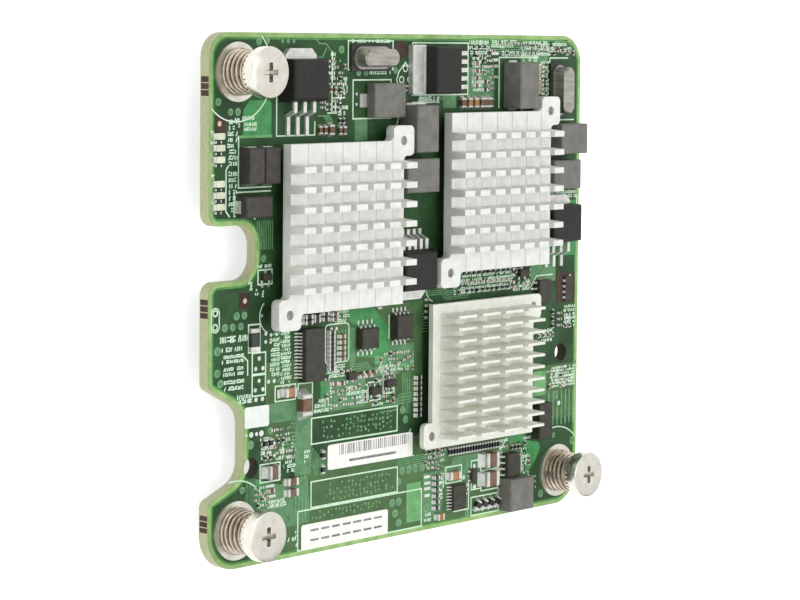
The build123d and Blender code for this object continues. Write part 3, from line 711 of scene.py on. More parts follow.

# %% [markdown]
# Cards are made several to a sheet, held by short perforated bridges. Where a bridge was snapped off,
# the edge keeps three stubs with pale laminate between them. The stubs are painted dark brown, which is
# painted shade. Each stub is a thin block let into the edge, a hundredth of a millimetre proud.

# %% Stubs of the snapped bridges
PROUD, LET_IN, STUB_GAP = 0.01, 0.2, 0.1
# Dark brown painted shade, on the bridge stubs and on the walls of the tooling holes
painted_shade_brown = grained("painted_shade_laminate", (52, 40, 22), (78, 62, 36), 0.7, cells=1500, grain=0.5)
stubs = Stock()
edges = {"left": (LEFT - PROUD, LEFT + LET_IN), "bottom": (BOTTOM - PROUD, BOTTOM + LET_IN),
         "top": (TOP - LET_IN, TOP + PROUD)}
for side, start, end in (("left", 38.2, 42.0), ("left", -2.7, 1.0), ("left", -42.5, -39.1),
                         ("top", -29.7, -25.8), ("top", 23.4, 27.0),
                         ("bottom", -45.8, -43.0), ("bottom", 43.7, 46.4)):
    third = (end - start) / 3
    for number in range(3):
        along = (start + number * third + STUB_GAP, start + (number + 1) * third - STUB_GAP)
        (x0, x1), (y0, y1) = (edges[side], along) if side == "left" else (along, edges[side])
        ring = [(x0, y0), (x1, y0), (x1, y1), (x0, y1)]
        stubs.loft([raised(ring, BACK + 0.15), raised(ring, FRONT - 0.12)])
make_piece("bridge_stubs", stubs, painted_shade_brown)

# %% [markdown]
# Copper under the mask shows as paler green. Wide areas are poured as flat patches, each a short
# list of corners, and they lie low among the films. The more copper layers lie over each other,
# the brighter the green. Lowest of all lie wide patches of paler mask over much of the lower half,
# which are painted sheen, so there are four tones, from the wide sheen to small pale areas.

# %% Poured copper under the mask, and painted sheen
def corners(x0, y0, x1, y1):
    return [(x1, y0), (x1, y1), (x0, y1), (x0, y0)]


# Painted sheen: wide patches of paler mask over the lower half
painted_sheen_pours = [
    [(39.4, -48.8), (39.4, -44.0), (36.4, -36.6), (31.0, -32.6), (9.0, -32.6), (6.0, -30.4), (-25.0, -30.4),
     (-31.0, -36.0), (-35.4, -40.0), (-35.4, -48.8)],
    corners(-39.8, -31.0, -27.0, -12.0), corners(-22.6, -23.4, 4.6, -3.2), corners(38.0, -31.6, 53.4, -20.0),
]
plain_pours = [
    corners(-15.8, 29.2, -12.2, 33.7), corners(10.2, 35.2, 14.2, 37.8), corners(-16.9, -14.8, -15.1, -7.2),
    corners(14.0, -37.9, 23.0, -36.2), corners(-31.8, -34.5, -27.4, -23.0),
    corners(17.8, 37.4, 26.0, 43.4), corners(34.5, 43.0, 43.6, 46.5), corners(-39.0, -23.6, -31.4, -19.9),
    corners(-24.9, -22.9, -12.2, -16.9), corners(-8.0, -16.9, 2.0, -11.5), corners(5.0, -48.0, 11.0, -38.4),
    corners(11.2, -41.4, 20.0, -37.6), corners(38.6, -2.0, 47.0, 4.6),
    [(-28.4, -34.6), (-27.6, -42.0), (-28.2, -43.8), (-34.2, -44.0), (-38.0, -40.4), (-42.4, -39.6),
     (-42.4, -33.7), (-35.8, -35.6)],
]
bright_pours = [
    [(-38.6, 30.9), (-38.6, 36.8), (-39.2, 37.4), (-44.4, 37.4), (-46.0, 35.6), (-46.0, 30.9)],
    [(-10.4, -3.0), (-6.0, -7.9), (-5.2, -9.9), (-5.2, -12.9), (-9.8, -13.6), (-15.0, -13.0),
     (-15.0, -7.0), (-17.2, -5.4), (-17.2, -3.0)],
    corners(-24.9, -19.9, -22.8, -17.9),
    [(41.8, -36.0), (42.6, -37.4), (40.6, -40.2), (38.0, -42.2), (37.6, -37.0), (35.6, -35.2),
     (32.0, -35.2), (32.0, -33.7), (37.6, -33.7), (37.8, -35.2)],
    corners(-42.3, -39.4, -39.9, -34.4), corners(43.2, 3.2, 54.0, 15.0),
]
pale_pours = [
    corners(0.1, -47.8, 4.4, -39.9), corners(-46.9, 30.4, -38.4, 30.9), corners(40.0, -26.2, 44.2, -21.0),
    corners(-9.6, -14.9, -6.2, -13.4), corners(-3.4, -16.8, 1.9, -15.2),
]
copper_mask = green_mask("mask_over_copper", (80, 126, 86), (102, 146, 104))
# The paler green of the painted sheen
painted_sheen_mask = green_mask("mask_with_painted_sheen", (66, 97, 59), (80, 113, 69), 700)
bright_mask = green_mask("mask_over_bright_copper", (58, 132, 76), (78, 152, 90))
pale_mask = green_mask("mask_over_pale_copper", (98, 156, 98), (118, 176, 116))
for name, pours, film, finish in (("painted_sheen_patches", painted_sheen_pours, "sheen", painted_sheen_mask),
                                  ("copper_pours", plain_pours, "copper", copper_mask),
                                  ("bright_pours", bright_pours, "bright", bright_mask),
                                  ("pale_pours", pale_pours, "pale", pale_mask)):
    stock = Stock()
    for pour in pours:
        patch(stock, pour, film)
    make_piece(name, stock, finish)

# %% [markdown]
# Traces run in bundles: the same path repeated side by side, so that a bundle is one path, a count
# and a step. Most paths turn by 45 degrees, as etched traces do. Where a bundle bends, its step
# leans a little, which keeps the spacing even round the bend.

# %% Bundles of traces
bundles = [
    # path, how many, step from one to the next, width
    ([(-2.8, -34.5), (12.4, -34.5)], 6, (0.0, -0.42), 0.2),
    ([(5.6, -0.7), (10.6, -0.7), (11.8, -1.9), (19.0, -1.9)], 5, (-0.1, -0.42), 0.2),
    ([(-1.4, -17.4), (-1.4, -25.6)], 5, (0.52, 0.0), 0.22),
    ([(-42.2, 14.9), (-42.2, 9.4)], 9, (0.5, 0.0), 0.18),
    ([(45.2, -25.6), (45.2, -33.0)], 4, (1.45, 0.0), 0.45),
    ([(50.9, -25.6), (50.9, -33.0)], 3, (1.3, 0.0), 0.45),
    ([(-44.9, -33.6), (-44.9, -40.0)], 6, (0.42, 0.0), 0.2),
    ([(-31.6, -36.4), (-31.6, -43.4)], 4, (0.9, 0.0), 0.35),
    ([(-38.0, -6.8), (-35.4, -6.8), (-33.6, -8.6)], 8, (0.0, -1.05), 0.26),
    ([(-17.0, -15.8), (-12.0, -15.8), (-10.6, -17.2), (-2.0, -17.2)], 4, (0.1, 0.45), 0.2),
    ([(-8.0, -22.8), (-3.4, -22.8), (-2.2, -21.6), (1.4, -21.6)], 4, (0.0, -0.6), 0.22),
    ([(2.0, -13.6), (-3.0, -13.6), (-4.6, -15.2), (-9.4, -15.2)], 5, (0.0, -0.45), 0.2),
    ([(18.2, 47.6), (24.0, 47.6), (25.4, 46.2), (34.0, 46.2)], 5, (0.2, 0.42), 0.2),
    ([(28.0, 47.9), (33.2, 47.9), (34.6, 46.5), (42.0, 46.5)], 4, (0.2, 0.42), 0.2),
    ([(43.6, 46.4), (45.2, 48.0), (48.4, 48.0), (50.6, 45.8)], 4, (0.5, 0.36), 0.18),
    ([(-24.6, 34.2), (-23.0, 34.2), (-22.2, 33.4), (-22.2, 30.4)], 4, (-0.55, 0.0), 0.2),
    ([(-29.6, -30.6), (-26.4, -33.8), (-26.4, -35.4)], 6, (0.5, 0.2), 0.18),
    ([(-35.6, -26.0), (-31.2, -26.0), (-29.8, -27.4)], 5, (0.0, -0.7), 0.2),
    ([(8.0, 39.6), (8.0, 38.4), (9.4, 37.0), (13.6, 37.0)], 3, (0.4, 0.3), 0.2),
    ([(29.4, -34.2), (31.6, -36.4), (31.6, -37.4)], 5, (-0.5, -0.1), 0.2),
    ([(-27.2, 49.2), (-25.8, 48.0), (-24.0, 48.0), (-21.6, 45.6)], 1, (0.0, 0.0), 0.25),
    ([(-26.2, 45.4), (-25.0, 45.4), (-23.8, 47.2)], 1, (0.0, 0.0), 0.25),
    ([(4.4, -6.0), (8.6, -6.0)], 7, (0.0, -0.6), 0.2),
]
# Short slanted bars in rows, on both sides of the transceiver
for row in range(10):
    bundles.append(([(-37.9, -6.9 - row), (-37.3, -6.3 - row)], 4, (1.25, 0.0), 0.42))
for row in range(6):
    bundles.append(([(-23.2, -7.4 - row), (-22.7, -8.0 - row)], 6, (1.0, 0.0), 0.3))
trace_mask = green_mask("mask_over_trace", (88, 140, 96), (118, 168, 118), 2500)
traces = Stock()
for path, count, (dx, dy), width in bundles:
    for number in range(count):
        strip(traces, [(x + number * dx, y + number * dy) for x, y in path], width, "trace")
make_piece("traces", traces, trace_mask)

# %% [markdown]
# A via is a plated hole from layer to layer. Larger ones show as a pale ring with a darker middle.
# Real holes would cut the board into thousands of faces, so each is a pair of thin discs instead.

# %% Vias and test points
rings, dots = Stock(), Stock()
ring_vias = [
    # x, y, size
    (-42.0, 48.3, 1.5), (-39.8, 48.5, 1.3), (-52.4, 37.2, 1.5), (-49.3, 35.3, 1.4), (-47.4, 35.3, 1.5),
    (-19.7, 46.9, 1.6), (-21.0, 39.6, 1.0), (-20.9, 38.3, 1.0), (-47.5, -2.6, 1.6), (-45.5, -2.6, 1.5),
    (-50.5, -4.6, 1.6), (-48.5, -4.6, 1.5), (-46.4, -4.6, 1.5), (-52.4, -8.8, 1.8), (-52.4, -12.9, 1.6),
    (-51.6, -14.9, 1.6), (-40.5, 7.7, 1.4), (-43.7, -27.1, 1.7), (-45.9, -35.4, 1.4), (-38.5, -25.0, 1.4),
    (-4.2, -43.2, 1.7), (-2.2, -43.2, 1.7), (-3.3, -45.4, 1.7), (-2.2, -47.4, 1.7), (-2.3, -39.2, 1.5),
    (-0.4, -26.8, 1.6), (-1.3, -24.8, 1.6), (47.3, -26.6, 1.9), (53.4, -37.0, 1.8), (42.8, -47.2, 1.8),
    (18.9, -48.2, 1.5), (50.8, 46.8, 1.6), (46.5, 48.4, 1.4), (11.6, 36.5, 0.9), (-12.7, 42.4, 1.3),
    (-14.8, 42.4, 1.3), (-4.2, 42.8, 1.3), (6.1, -45.6, 1.9), (46.9, -35.2, 1.2), (54.0, -20.0, 1.0),
]
ring_vias += [(-1.3 + 2.0 * k, -37.1, 1.7) for k in range(6)]
for x, y, size in ring_vias:
    patch(rings, circle(x, y, size / 2), "ring")
    patch(dots, circle(x, y, size * 0.22, 10), "dot")
for k in range(3):
    patch(rings, circle(-35.8 + 1.5 * k, 48.4, 0.4, 10), "ring")
print(len(ring_vias), "vias with a ring")

# %% [markdown]
# Small vias are just dots. They stand in loose rows where the back connectors are soldered, and in
# a scatter beside them. The places are drawn at random from a fixed seed, so every run is the same.

# %% Small vias
ROW_STEP, COLUMN_STEP, COLUMNS, GAPS, SCATTERED = 0.95, 1.07, 19, 0.25, 90
random.seed(11)
for low_y, high_y, left_x in ((-28.2, -24.4, -24.0), (-40.6, -36.8, -23.2), (-43.6, -41.9, -27.0)):
    rows = max(2, round((high_y - low_y) / ROW_STEP))
    for row in range(rows):
        for column in range(COLUMNS):
            if random.random() < GAPS:
                continue
            x = left_x + COLUMN_STEP * column + random.uniform(-0.2, 0.2)
            y = low_y + (row + 0.5) * (high_y - low_y) / rows + random.uniform(-0.25, 0.25)
            patch(rings, circle(x, y, random.uniform(0.22, 0.32), 8), "ring")
for _ in range(SCATTERED):
    x, y = random.uniform(-36.5, -28.5), random.uniform(-43.0, -23.5)
    patch(rings, circle(x, y, random.uniform(0.18, 0.28), 8), "ring")
via_mask = green_mask("mask_over_via", (92, 138, 98), (120, 164, 120), 2500)
make_piece("via_rings", rings, via_mask)
make_piece("via_middles", dots, copper_mask)

# %% [markdown]
# The legend is printed in pale ink over everything else. Its outlines say where each part goes, and
# rings and arcs keep a space clear round the screws. They are strips like the traces, but at a
# higher level, because ink lies on the mask.

# %% Printed outlines
def arc(x, y, radius, start, end, steps=24):
    angles = [math.radians(start + (end - start) * k / steps) for k in range(steps + 1)]
    return [(x + radius * math.cos(angle), y + radius * math.sin(angle)) for angle in angles]


legend_ink = grained("legend_ink", (196, 228, 198), (218, 240, 216), 0.55, cells=2500, specular=0.3)
LINE = 0.28
legend = Stock()
boxes = [
    # low x, low y, high x, high y
    (-16.4, 33.5, -5.5, 41.0), (-17.8, 43.0, -5.0, 48.6), (0.8, 37.9, 17.7, 48.3),
    (-44.4, -9.7, -41.4, -4.5), (-43.4, -13.9, -39.9, -9.9), (-43.4, -18.0, -39.9, -14.1),
    (-27.4, -28.8, -2.9, -23.8), (-27.4, -41.1, -2.7, -36.1), (-31.0, -49.0, 4.6, -41.4),
    (-37.3, -19.6, -31.8, -16.7), (-31.1, -23.1, -27.2, -16.8), (-41.2, -34.6, -35.9, -31.2),
    (-11.5, -22.0, -8.0, -18.4), (-7.1, -21.0, -3.9, -17.2), (20.0, -49.0, 28.9, -45.2),
    (20.0, -43.6, 22.9, -37.6), (12.0, -41.3, 16.9, -38.0), (23.1, -40.0, 28.6, -36.6),
    (23.1, -44.2, 28.6, -40.4), (-42.0, 2.9, -38.3, 5.6),
]
for x0, y0, x1, y1 in boxes:
    strip(legend, [(x0, y0), (x1, y0), (x1, y1), (x0, y1)], LINE, "legend", True)
open_lines = [
    [(-37.3, 38.4), (-37.3, 30.6), (-27.0, 30.6), (-27.0, 33.2)],
    [(-22.3, 46.6), (-22.3, 34.7), (-23.6, 34.7)], [(-22.3, 37.6), (-19.1, 37.6)],
    [(-21.3, 37.6), (-21.3, 34.6)], [(27.6, 34.9), (27.6, 45.4), (40.4, 45.4)],
    [(46.4, 32.2), (52.6, 32.2)], [(44.2, 38.4), (44.2, 45.3), (50.4, 45.3)],
    [(-47.2, 30.9), (-47.2, 21.2), (-38.5, 21.2)], [(-47.6, 20.4), (-38.7, 20.4)],
    [(-48.3, 20.2), (-48.3, 16.0), (-43.6, 16.0), (-42.8, 15.2)], [(-5.5, -10.2), (-5.5, -5.4)],
    [(14.4, -47.4), (19.2, -47.4), (19.2, -41.6)], [(31.4, -34.0), (29.0, -36.4)],
    [(36.2, -36.8), (36.2, -42.0)], [(38.6, -2.9), (40.6, -0.6), (46.0, -0.6)], [(53.9, 9.0), (53.9, 16.0)],
    [(-49.8, 25.4), (-50.4, 24.6), (-50.4, 17.0), (-49.4, 15.9)],
    [(-46.0, -10.0), (-44.6, -11.2), (-44.6, -14.0)],
]
for path in open_lines:
    strip(legend, path, LINE, "legend")
print(len(boxes), "boxes and", len(open_lines), "open lines")

# %% [markdown]
# The rest of the legend is round: arcs at the screws, a three-hole outline at the top, a long one
# at the left edge with two rings in it, a frame by the small capacitors, and arcs at the heatsinks.

# %% Printed rings and arcs
SCREW_CLEARANCE = 9.25
for place, start, end in (("top_left", -133, -25), ("top_left", 28, 46), ("bottom_left", 28, 100),
                          ("bottom_right", 47, 100)):
    strip(legend, arc(*screws[place], SCREW_CLEARANCE, start, end), 0.26, "legend")
three_holes = ((-2.4, 41.0), (0.0, 41.0), (-1.3, 43.2))
for x, y in three_holes:
    strip(legend, circle(x, y, 0.62, 14), 0.22, "legend", True)
strip(legend, [(-1.3, 44.4), (-3.2, 42.6), (-3.9, 40.9), (-3.1, 39.7), (0.6, 39.7), (1.3, 40.9), (0.6, 42.6)],
      0.26, "legend", True)
two_holes = ((-53.0, -1.7), (-53.0, -4.3))
strip(legend, moved_in(turned(rounded(2.3, 4.7, 1.1, 6), -53.0, -3.0, 0), 0.12), 0.24, "legend", True)
for x, y in two_holes:
    strip(legend, circle(x, y, 0.55, 14), 0.3, "legend", True)
strip(legend, turned(rounded(6.6, 7.5, 0.8), -20.4, -9.85, 0), 0.24, "legend", True)
for x, y in ((-38.2, -3.2), (-0.4, 31.6), (8.6, -0.6), (38.4, 34.2), (3.4, -31.4)):
    strip(legend, arc(x, y, 3.3, 130, 250), 0.2, "legend")
make_piece("legend_outlines", legend, legend_ink)

# %% [markdown]
# Between the parts the legend has small groups of short strokes. Each group is a box that is filled
# with rows of strokes: upright, leaning, or a pair of short bars. They could be one small mesh that
# is repeated, but random lengths and gaps make the print look less regular.

# %% Groups of ticks
STROKE, SKIPPED = 0.26, 0.1


def tick_block(stock, x0, y0, x1, y1, height, pitch=0.62):
    """Fills a box with rows of small strokes."""
    rows = max(1, round((y1 - y0) / (height * 1.3)))
    for row in range(rows):
        y = y0 + (row + 0.5) * (y1 - y0) / rows
        x = x0 + random.uniform(0, pitch)
        while x < x1:
            if random.random() < SKIPPED:
                x += pitch
                continue
            half = height / 2 * random.uniform(0.75, 1)
            shape = random.choice(("upright", "upright", "leaning", "bars"))
            if shape == "upright":
                strip(stock, [(x, y - half), (x, y + half)], STROKE, "legend")
            elif shape == "leaning":
                strip(stock, [(x - 0.16, y - half), (x + 0.16, y + half)], 0.24, "legend")
            else:
                for level in (0.8, -0.5):
                    bar_path = [(x - 0.22, y + half * level), (x + 0.22, y + half * level)]
                    strip(stock, bar_path, STROKE, "legend")
            x += pitch * random.choice((0.6, 0.72, 0.9))


random.seed(5)
ticks = Stock()
tick_blocks = [
    # low x, low y, high x, high y, stroke height
    (-52.0, -7.8, -44.6, -5.8, 1.3), (-51.2, -9.4, -45.8, -8.0, 0.9), (-51.2, -11.4, -45.8, -9.6, 0.7),
    (-51.2, -13.8, -45.6, -11.9, 0.7), (-50.8, -16.6, -45.6, -14.2, 0.8), (-47.4, -19.2, -43.6, -17.4, 0.9),
    (-50.0, 25.2, -47.5, 34.0, 0.9), (-49.6, 16.6, -47.6, 24.4, 0.9), (-54.1, 25.4, -53.3, 32.0, 0.5),
    (-54.1, 17.0, -53.3, 24.0, 0.5), (-22.6, 41.0, -21.4, 46.4, 0.7), (-19.4, 38.4, -17.9, 41.6, 0.7),
    (-20.4, 34.0, -17.9, 36.3, 0.8), (-16.6, 48.0, -5.4, 49.0, 0.7), (-11.6, 41.8, -5.6, 43.0, 0.8),
    (-46.4, 33.6, -43.2, 34.6, 0.7), (-46.0, 31.6, -42.6, 33.4, 0.7), (-49.0, 32.2, -46.8, 34.4, 0.7),
    (17.6, 45.8, 24.6, 49.0, 0.8), (25.0, 47.4, 33.0, 49.0, 0.8), (34.8, 46.8, 43.4, 49.0, 0.8),
    (28.4, 45.6, 34.0, 46.8, 0.6), (44.6, 46.2, 50.0, 48.8, 0.8), (34.6, 43.4, 40.0, 46.4, 0.8),
    (40.2, 45.6, 44.0, 48.6, 0.8), (-38.6, -14.8, -36.2, -7.4, 0.7), (-35.8, -18.0, -33.2, -6.4, 0.6),
    (-23.0, -16.6, -18.4, -14.0, 0.8), (-27.0, -23.0, -22.6, -20.2, 0.8), (-13.8, -22.4, -11.8, -19.6, 0.7),
    (-10.6, -23.4, -6.8, -22.4, 0.6), (16.0, -3.0, 32.4, 2.0, 0.6), (45.6, -25.0, 54.0, -20.4, 0.5),
    (40.6, -15.0, 46.0, -12.0, 0.7), (-41.2, -30.4, -38.0, -26.0, 0.7), (-36.6, -31.0, -34.6, -28.6, 0.8),
    (-34.4, -33.6, -31.8, -30.2, 0.7), (-29.4, -32.4, -27.6, -29.6, 0.7), (-34.6, -47.2, -31.6, -45.8, 0.8),
    (-31.6, -49.0, -31.2, -44.0, 0.6), (36.4, -42.4, 38.4, -38.2, 0.7), (28.6, -49.0, 29.4, -45.0, 0.6),
    (18.2, -44.6, 19.0, -42.0, 0.6), (41.4, 36.4, 43.8, 44.8, 0.7), (28.6, -34.9, 31.6, -34.0, 0.6),
    (-42.4, 5.8, -38.4, 6.8, 0.7), (-44.4, 1.9, -43.6, 4.2, 0.5), (-42.9, 0.8, -42.0, 3.0, 0.5),
    (-41.2, 0.4, -40.2, 1.8, 0.6), (19.0, 38.4, 22.2, 45.6, 0.6), (5.4, -48.6, 7.6, -46.4, 0.7),
    (10.0, -44.4, 11.4, -39.0, 0.6), (-20.8, -6.0, -17.0, -3.4, 0.7), (49.8, -12.4, 53.6, -7.4, 0.6),
    (33.6, -3.4, 38.6, -1.4, 0.6), (-8.2, -16.9, -2.4, -15.2, 0.6), (-17.8, -20.6, -14.0, -18.4, 0.7),
    (-39.4, -39.8, -34.4, -38.2, 0.8), (2.4, 36.2, 9.0, 37.6, 0.7), (44.6, 15.4, 53.6, 17.2, 0.7),
]
for block in tick_blocks:
    tick_block(ticks, *block)
make_piece("legend_ticks", ticks, legend_ink)

# %% [markdown]
# Bare pads are solder on copper: dots for test points, and small bars for parts that aren't fitted.
# The printed rings have a drilled hole in the middle, drawn as a black disc, which is painted shade
# for the hole. All are patches at the highest level, so that they cover the mask and the print.

# %% Bare pads
hole_shade = Stock()
for x, y in three_holes + two_holes:
    patch(hole_shade, circle(x, y, 0.36, 12), "pad")
# Black discs: painted shade in the drilled holes
make_piece("painted_hole_shade", hole_shade, black_film_and_hole_shade)
pads = Stock()
pad_dots = [
    # x, y, size
    (-41.6, -11.0, 0.9), (-42.5, -12.9, 0.85), (-40.6, -12.9, 0.85), (-41.6, -15.2, 0.8),
    (-42.6, -16.9, 0.85), (-40.6, -16.9, 0.85), (-44.2, -18.7, 0.9), (-42.4, -18.7, 0.9),
    (-40.7, -18.7, 0.9), (-39.9, -6.5, 0.7), (-38.5, -6.8, 0.7), (-37.0, -6.8, 0.7), (-39.9, -8.0, 0.7),
    (-38.6, -8.2, 0.6), (-39.1, -15.6, 0.8), (-37.6, -15.6, 0.8), (-37.5, -27.5, 0.8), (-37.4, -29.8, 0.7),
    (-38.6, -29.2, 0.8), (-40.3, -29.0, 0.8), (-41.0, -3.0, 0.7), (-40.9, 2.6, 0.7), (-39.2, 2.6, 0.7),
    (17.6, -40.7, 0.95), (19.2, -40.7, 0.95), (20.9, -38.7, 0.95), (21.0, -43.1, 1.1), (24.0, -38.8, 0.9),
    (24.0, -42.6, 0.9), (48.6, -28.4, 1.0), (33.1, 1.3, 0.7), (33.1, 0.0, 0.7), (33.1, -1.5, 0.7),
    (33.1, -3.0, 0.7), (-43.6, -25.2, 1.1), (-40.9, -25.2, 1.2), (-42.2, -25.2, 0.8), (-44.9, -25.2, 0.7),
    (-15.4, 38.3, 0.6), (-15.4, 36.3, 0.6), (-22.0, -7.0, 0.7), (-20.6, -7.0, 0.7),
]
for x, y, size in pad_dots:
    patch(pads, circle(x, y, size / 2, 12), "pad")
pad_bars = [
    # x, y, length, width
    (-43.0, -5.6, 2.0, 0.9), (-43.0, -8.7, 2.0, 0.9), (6.3, -39.2, 1.9, 0.6), (6.3, -40.5, 1.9, 0.6),
    (6.3, -41.6, 1.9, 0.6), (6.3, -43.0, 1.6, 0.6), (-38.6, -35.5, 2.4, 0.5), (-38.2, -37.5, 2.4, 0.5),
    (26.2, 46.2, 2.2, 0.6), (26.3, 44.9, 2.0, 0.6), (26.3, 43.6, 2.0, 0.6), (26.2, 41.4, 2.0, 0.5),
    (23.6, 43.5, 2.2, 0.6), (38.4, -34.7, 3.4, 0.5), (-8.2, -3.9, 1.2, 0.4), (2.8, 36.3, 4.2, 0.5),
    (-6.2, 43.0, 1.4, 0.6), (-36.4, -18.2, 0.7, 1.6), (12.4, -39.8, 0.8, 1.4),
]
for x, y, length, width in pad_bars:
    patch(pads, turned(rounded(length, width, 0.12, 2), x, y, 0), "pad")
for k in range(7):
    patch(pads, turned(rounded(1.1, 0.42, 0.1, 2), 40.8, 43.8 - 0.98 * k, 15), "pad")
make_piece("bare_pads", pads, solder)

# %% [markdown]
# A fiducial is a bright dot in a window of bare laminate, which a placing machine looks for. The
# window is brown, because the mask is left off it. A cut in the mask would need a mask with a
# thickness, so a window is a brown patch and the dot lies over it. One square is inked white.

# %% Windows, fiducials and the blank square
bare_brown = grained("bare_laminate_window", (58, 40, 36), (74, 50, 44), 0.5, cells=1500, specular=0.3)
white_ink = grained("white_ink", (226, 232, 226), (238, 242, 238), 0.6, cells=1800, specular=0.2)
windows, targets, blank = Stock(), Stock(), Stock()
for x0, y0, x1, y1 in ((-53.3, 31.6, -50.4, 34.6), (-46.8, -1.3, -44.0, 1.6), (47.4, -6.9, 53.6, -0.5)):
    patch(windows, corners(x0, y0, x1, y1), "trace")
patch(windows, circle(-2.5, 46.9, 1.9, 24), "trace")
for x, y, size in ((-52.1, 33.2, 1.0), (-45.4, 0.1, 1.0), (51.9, -1.4, 0.9), (51.9, -2.6, 0.9),
                   (51.9, -3.8, 0.9), (51.9, -5.0, 0.9)):
    patch(targets, circle(x, y, size / 2, 14), "pad")
patch(blank, turned(rounded(6.4, 4.0, 0.4), -42.1, -21.95, 0), "legend")
make_piece("bare_windows", windows, bare_brown)
make_piece("fiducial_dots", targets, gold_pad)
make_piece("blank_ink_square", blank, white_ink)

# %% [markdown]
# Inside each tooling hole the wall is painted dark, as painted shade, and the green mask has run a
# little way down into it. So each tooling hole gets two thin sleeves against its wall: a dark brown one
# below, which is painted shade, and above it one of the mask's green, painted darker as shade. A sleeve
# runs up outside and down inside.

# %% Painted shade on the walls of the tooling holes
MASK_RUN, SLEEVE, SLEEVE_STEPS = 0.9, 0.02, 40
SMALLEST_RADIUS, LARGEST_RADIUS = 1.6, 2.2
# The mask's own green, painted darker as shade inside the hole
shaded_hole_mask = grained("hole_mask_with_painted_shade", (34, 52, 32), (48, 68, 42), 0.6, cells=1500, specular=0.3)


def sleeve(stock, x, y, radius, bottom, top):
    base, steps = len(stock.points), SLEEVE_STEPS
    for reach, level in ((radius, bottom), (radius, top), (radius - SLEEVE, top), (radius - SLEEVE, bottom)):
        stock.points += [tuple(v * MM for v in (*point, level)) for point in circle(x, y, reach, steps)]
    for ring in range(4):
        for step in range(steps):
            after, low, high = (step + 1) % steps, base + ring * steps, base + (ring + 1) % 4 * steps
            stock.faces.append((low + step, low + after, high + after, high + step))


walls, rims = Stock(), Stock()
for x, y, radius in holes:
    if SMALLEST_RADIUS < radius < LARGEST_RADIUS:
        sleeve(walls, x, y, radius, BACK, FRONT - MASK_RUN)
        sleeve(rims, x, y, radius, FRONT - MASK_RUN, FRONT)
make_piece("tooling_hole_walls", walls, painted_shade_brown, smooth=True)
make_piece("tooling_hole_rims", rims, shaded_hole_mask, smooth=True)

# %% [markdown]
# Hundreds of ceramic capacitors and film resistors sit round the larger parts. Each is a body
# between two plated ends, with a fillet of solder at each end. An object for each would be slow, so
# a part adds its forms to one stock for each finish. A set of such stocks is a kit. The plated ends
# take a bit more than a fifth of the length each, and are a hair taller than the body.

# %% A chip part with its solder
KINDS = ("brown", "tan", "black", "ends", "fillets")
front_kit = {kind: Stock() for kind in KINDS}
placed = []


def block_at(stock, x, y, turn, ax, ay, length, width, low, high, round_off=0.0):
    """A block about a point that lies ax, ay from x, y along the part's own axes."""
    def ring(inset, level):
        points = [(px + ax, py + ay) for px, py in rounded(length - 2 * inset, width - 2 * inset)]
        return raised(turned(points, x, y, turn), level)
    if round_off:
        stock.loft([ring(0, low), ring(0, high - round_off), ring(round_off, high)])
    else:
        stock.loft([ring(0, low), ring(0, high)])


def chip_part(kit, x, y, turn, length, width, height, kind):
    placed.append((x, y, length / 2))
    cap, lift = length * 0.22, FRONT + 0.03
    block_at(kit[kind], x, y, turn, 0, 0, length - 2 * cap, width, lift, lift + height, height * 0.08)
    for side in (-1, 1):
        block_at(kit["ends"], x, y, turn, side * (length - cap) / 2, 0, cap, width * 1.04, lift,
                 lift + height * 1.04, height * 0.12)
        inner, toe, tip = (side * (length / 2 + reach) for reach in (-0.02, width * 0.35, 0.03))
        wedge = [[(inner, -half), (outer, -half), (outer, half), (inner, half)]
                 for outer, half in ((toe, width / 2), (tip, width * 0.4))]
        if side < 0:
            wedge = [ring[::-1] for ring in wedge]
        kit["fillets"].loft([raised(turned(ring, x, y, turn), level)
                             for ring, level in zip(wedge, (FRONT + 0.01, lift + height * 0.6))])


print("a kit holds", ", ".join(KINDS))


# %% [markdown]
# The larger capacitors, the lights and the fuse are in the CAD model, as plain blocks. The
# capacitors are remade here at the same places and sizes, with rounded tops and solder. The lights
# and the fuse keep their bodies and only get new plated ends.

# %% The larger capacitors and the plated ends
cad_capacitors = [
    # x, y, turn, length, width, height, kind
    (-33.8, -18.1, 0, 2.9, 1.7, 1.1, "tan"), (-30.1, -20.8, 90, 4.2, 2.5, 1.8, "brown"),
    (-38.65, -32.75, 0, 2.7, 2.4, 1.7, "brown"), (-32.9, -35.3, 0, 2.9, 1.4, 0.8, "brown"),
    (-32.9, -37.4, 0, 2.9, 1.4, 0.8, "brown"), (14.1, -39.8, 0, 3.4, 1.7, 1.1, "tan"),
    (25.05, -37.8, 0, 3.9, 3.0, 1.9, "brown"), (25.05, -41.7, 0, 3.9, 3.0, 1.9, "brown"),
]
for part in cad_capacitors:
    chip_part(front_kit, *part)
light_rows = (30.9, 28.75, 26.6, 22.15, 20.05, 17.9)
for y in light_rows:
    for side in (-1, 1):
        block_at(front_kit["ends"], -52.6, y, 0, side * 1.12, 0, 0.56, 1.2, FRONT, FRONT + 0.78, 0.1)
        block_at(front_kit["ends"], -52.6, y - 1.08, 0, side * 0.64, 0, 0.32, 0.5, FRONT, FRONT + 0.44, 0.05)
for side in (-1, 1):
    block_at(front_kit["ends"], -43.3, -7.3, 90, side * 1.72, 0, 0.86, 2.2, FRONT, FRONT + 0.88, 0.08)
print(len(cad_capacitors), "larger capacitors and", len(light_rows), "rows of ends for the lights")

# %% [markdown]
# Small parts stand in lines, because they serve neighbouring pins. A row of the table places one
# part or a line of them: the place of the first, the step to the next, and how many there are.

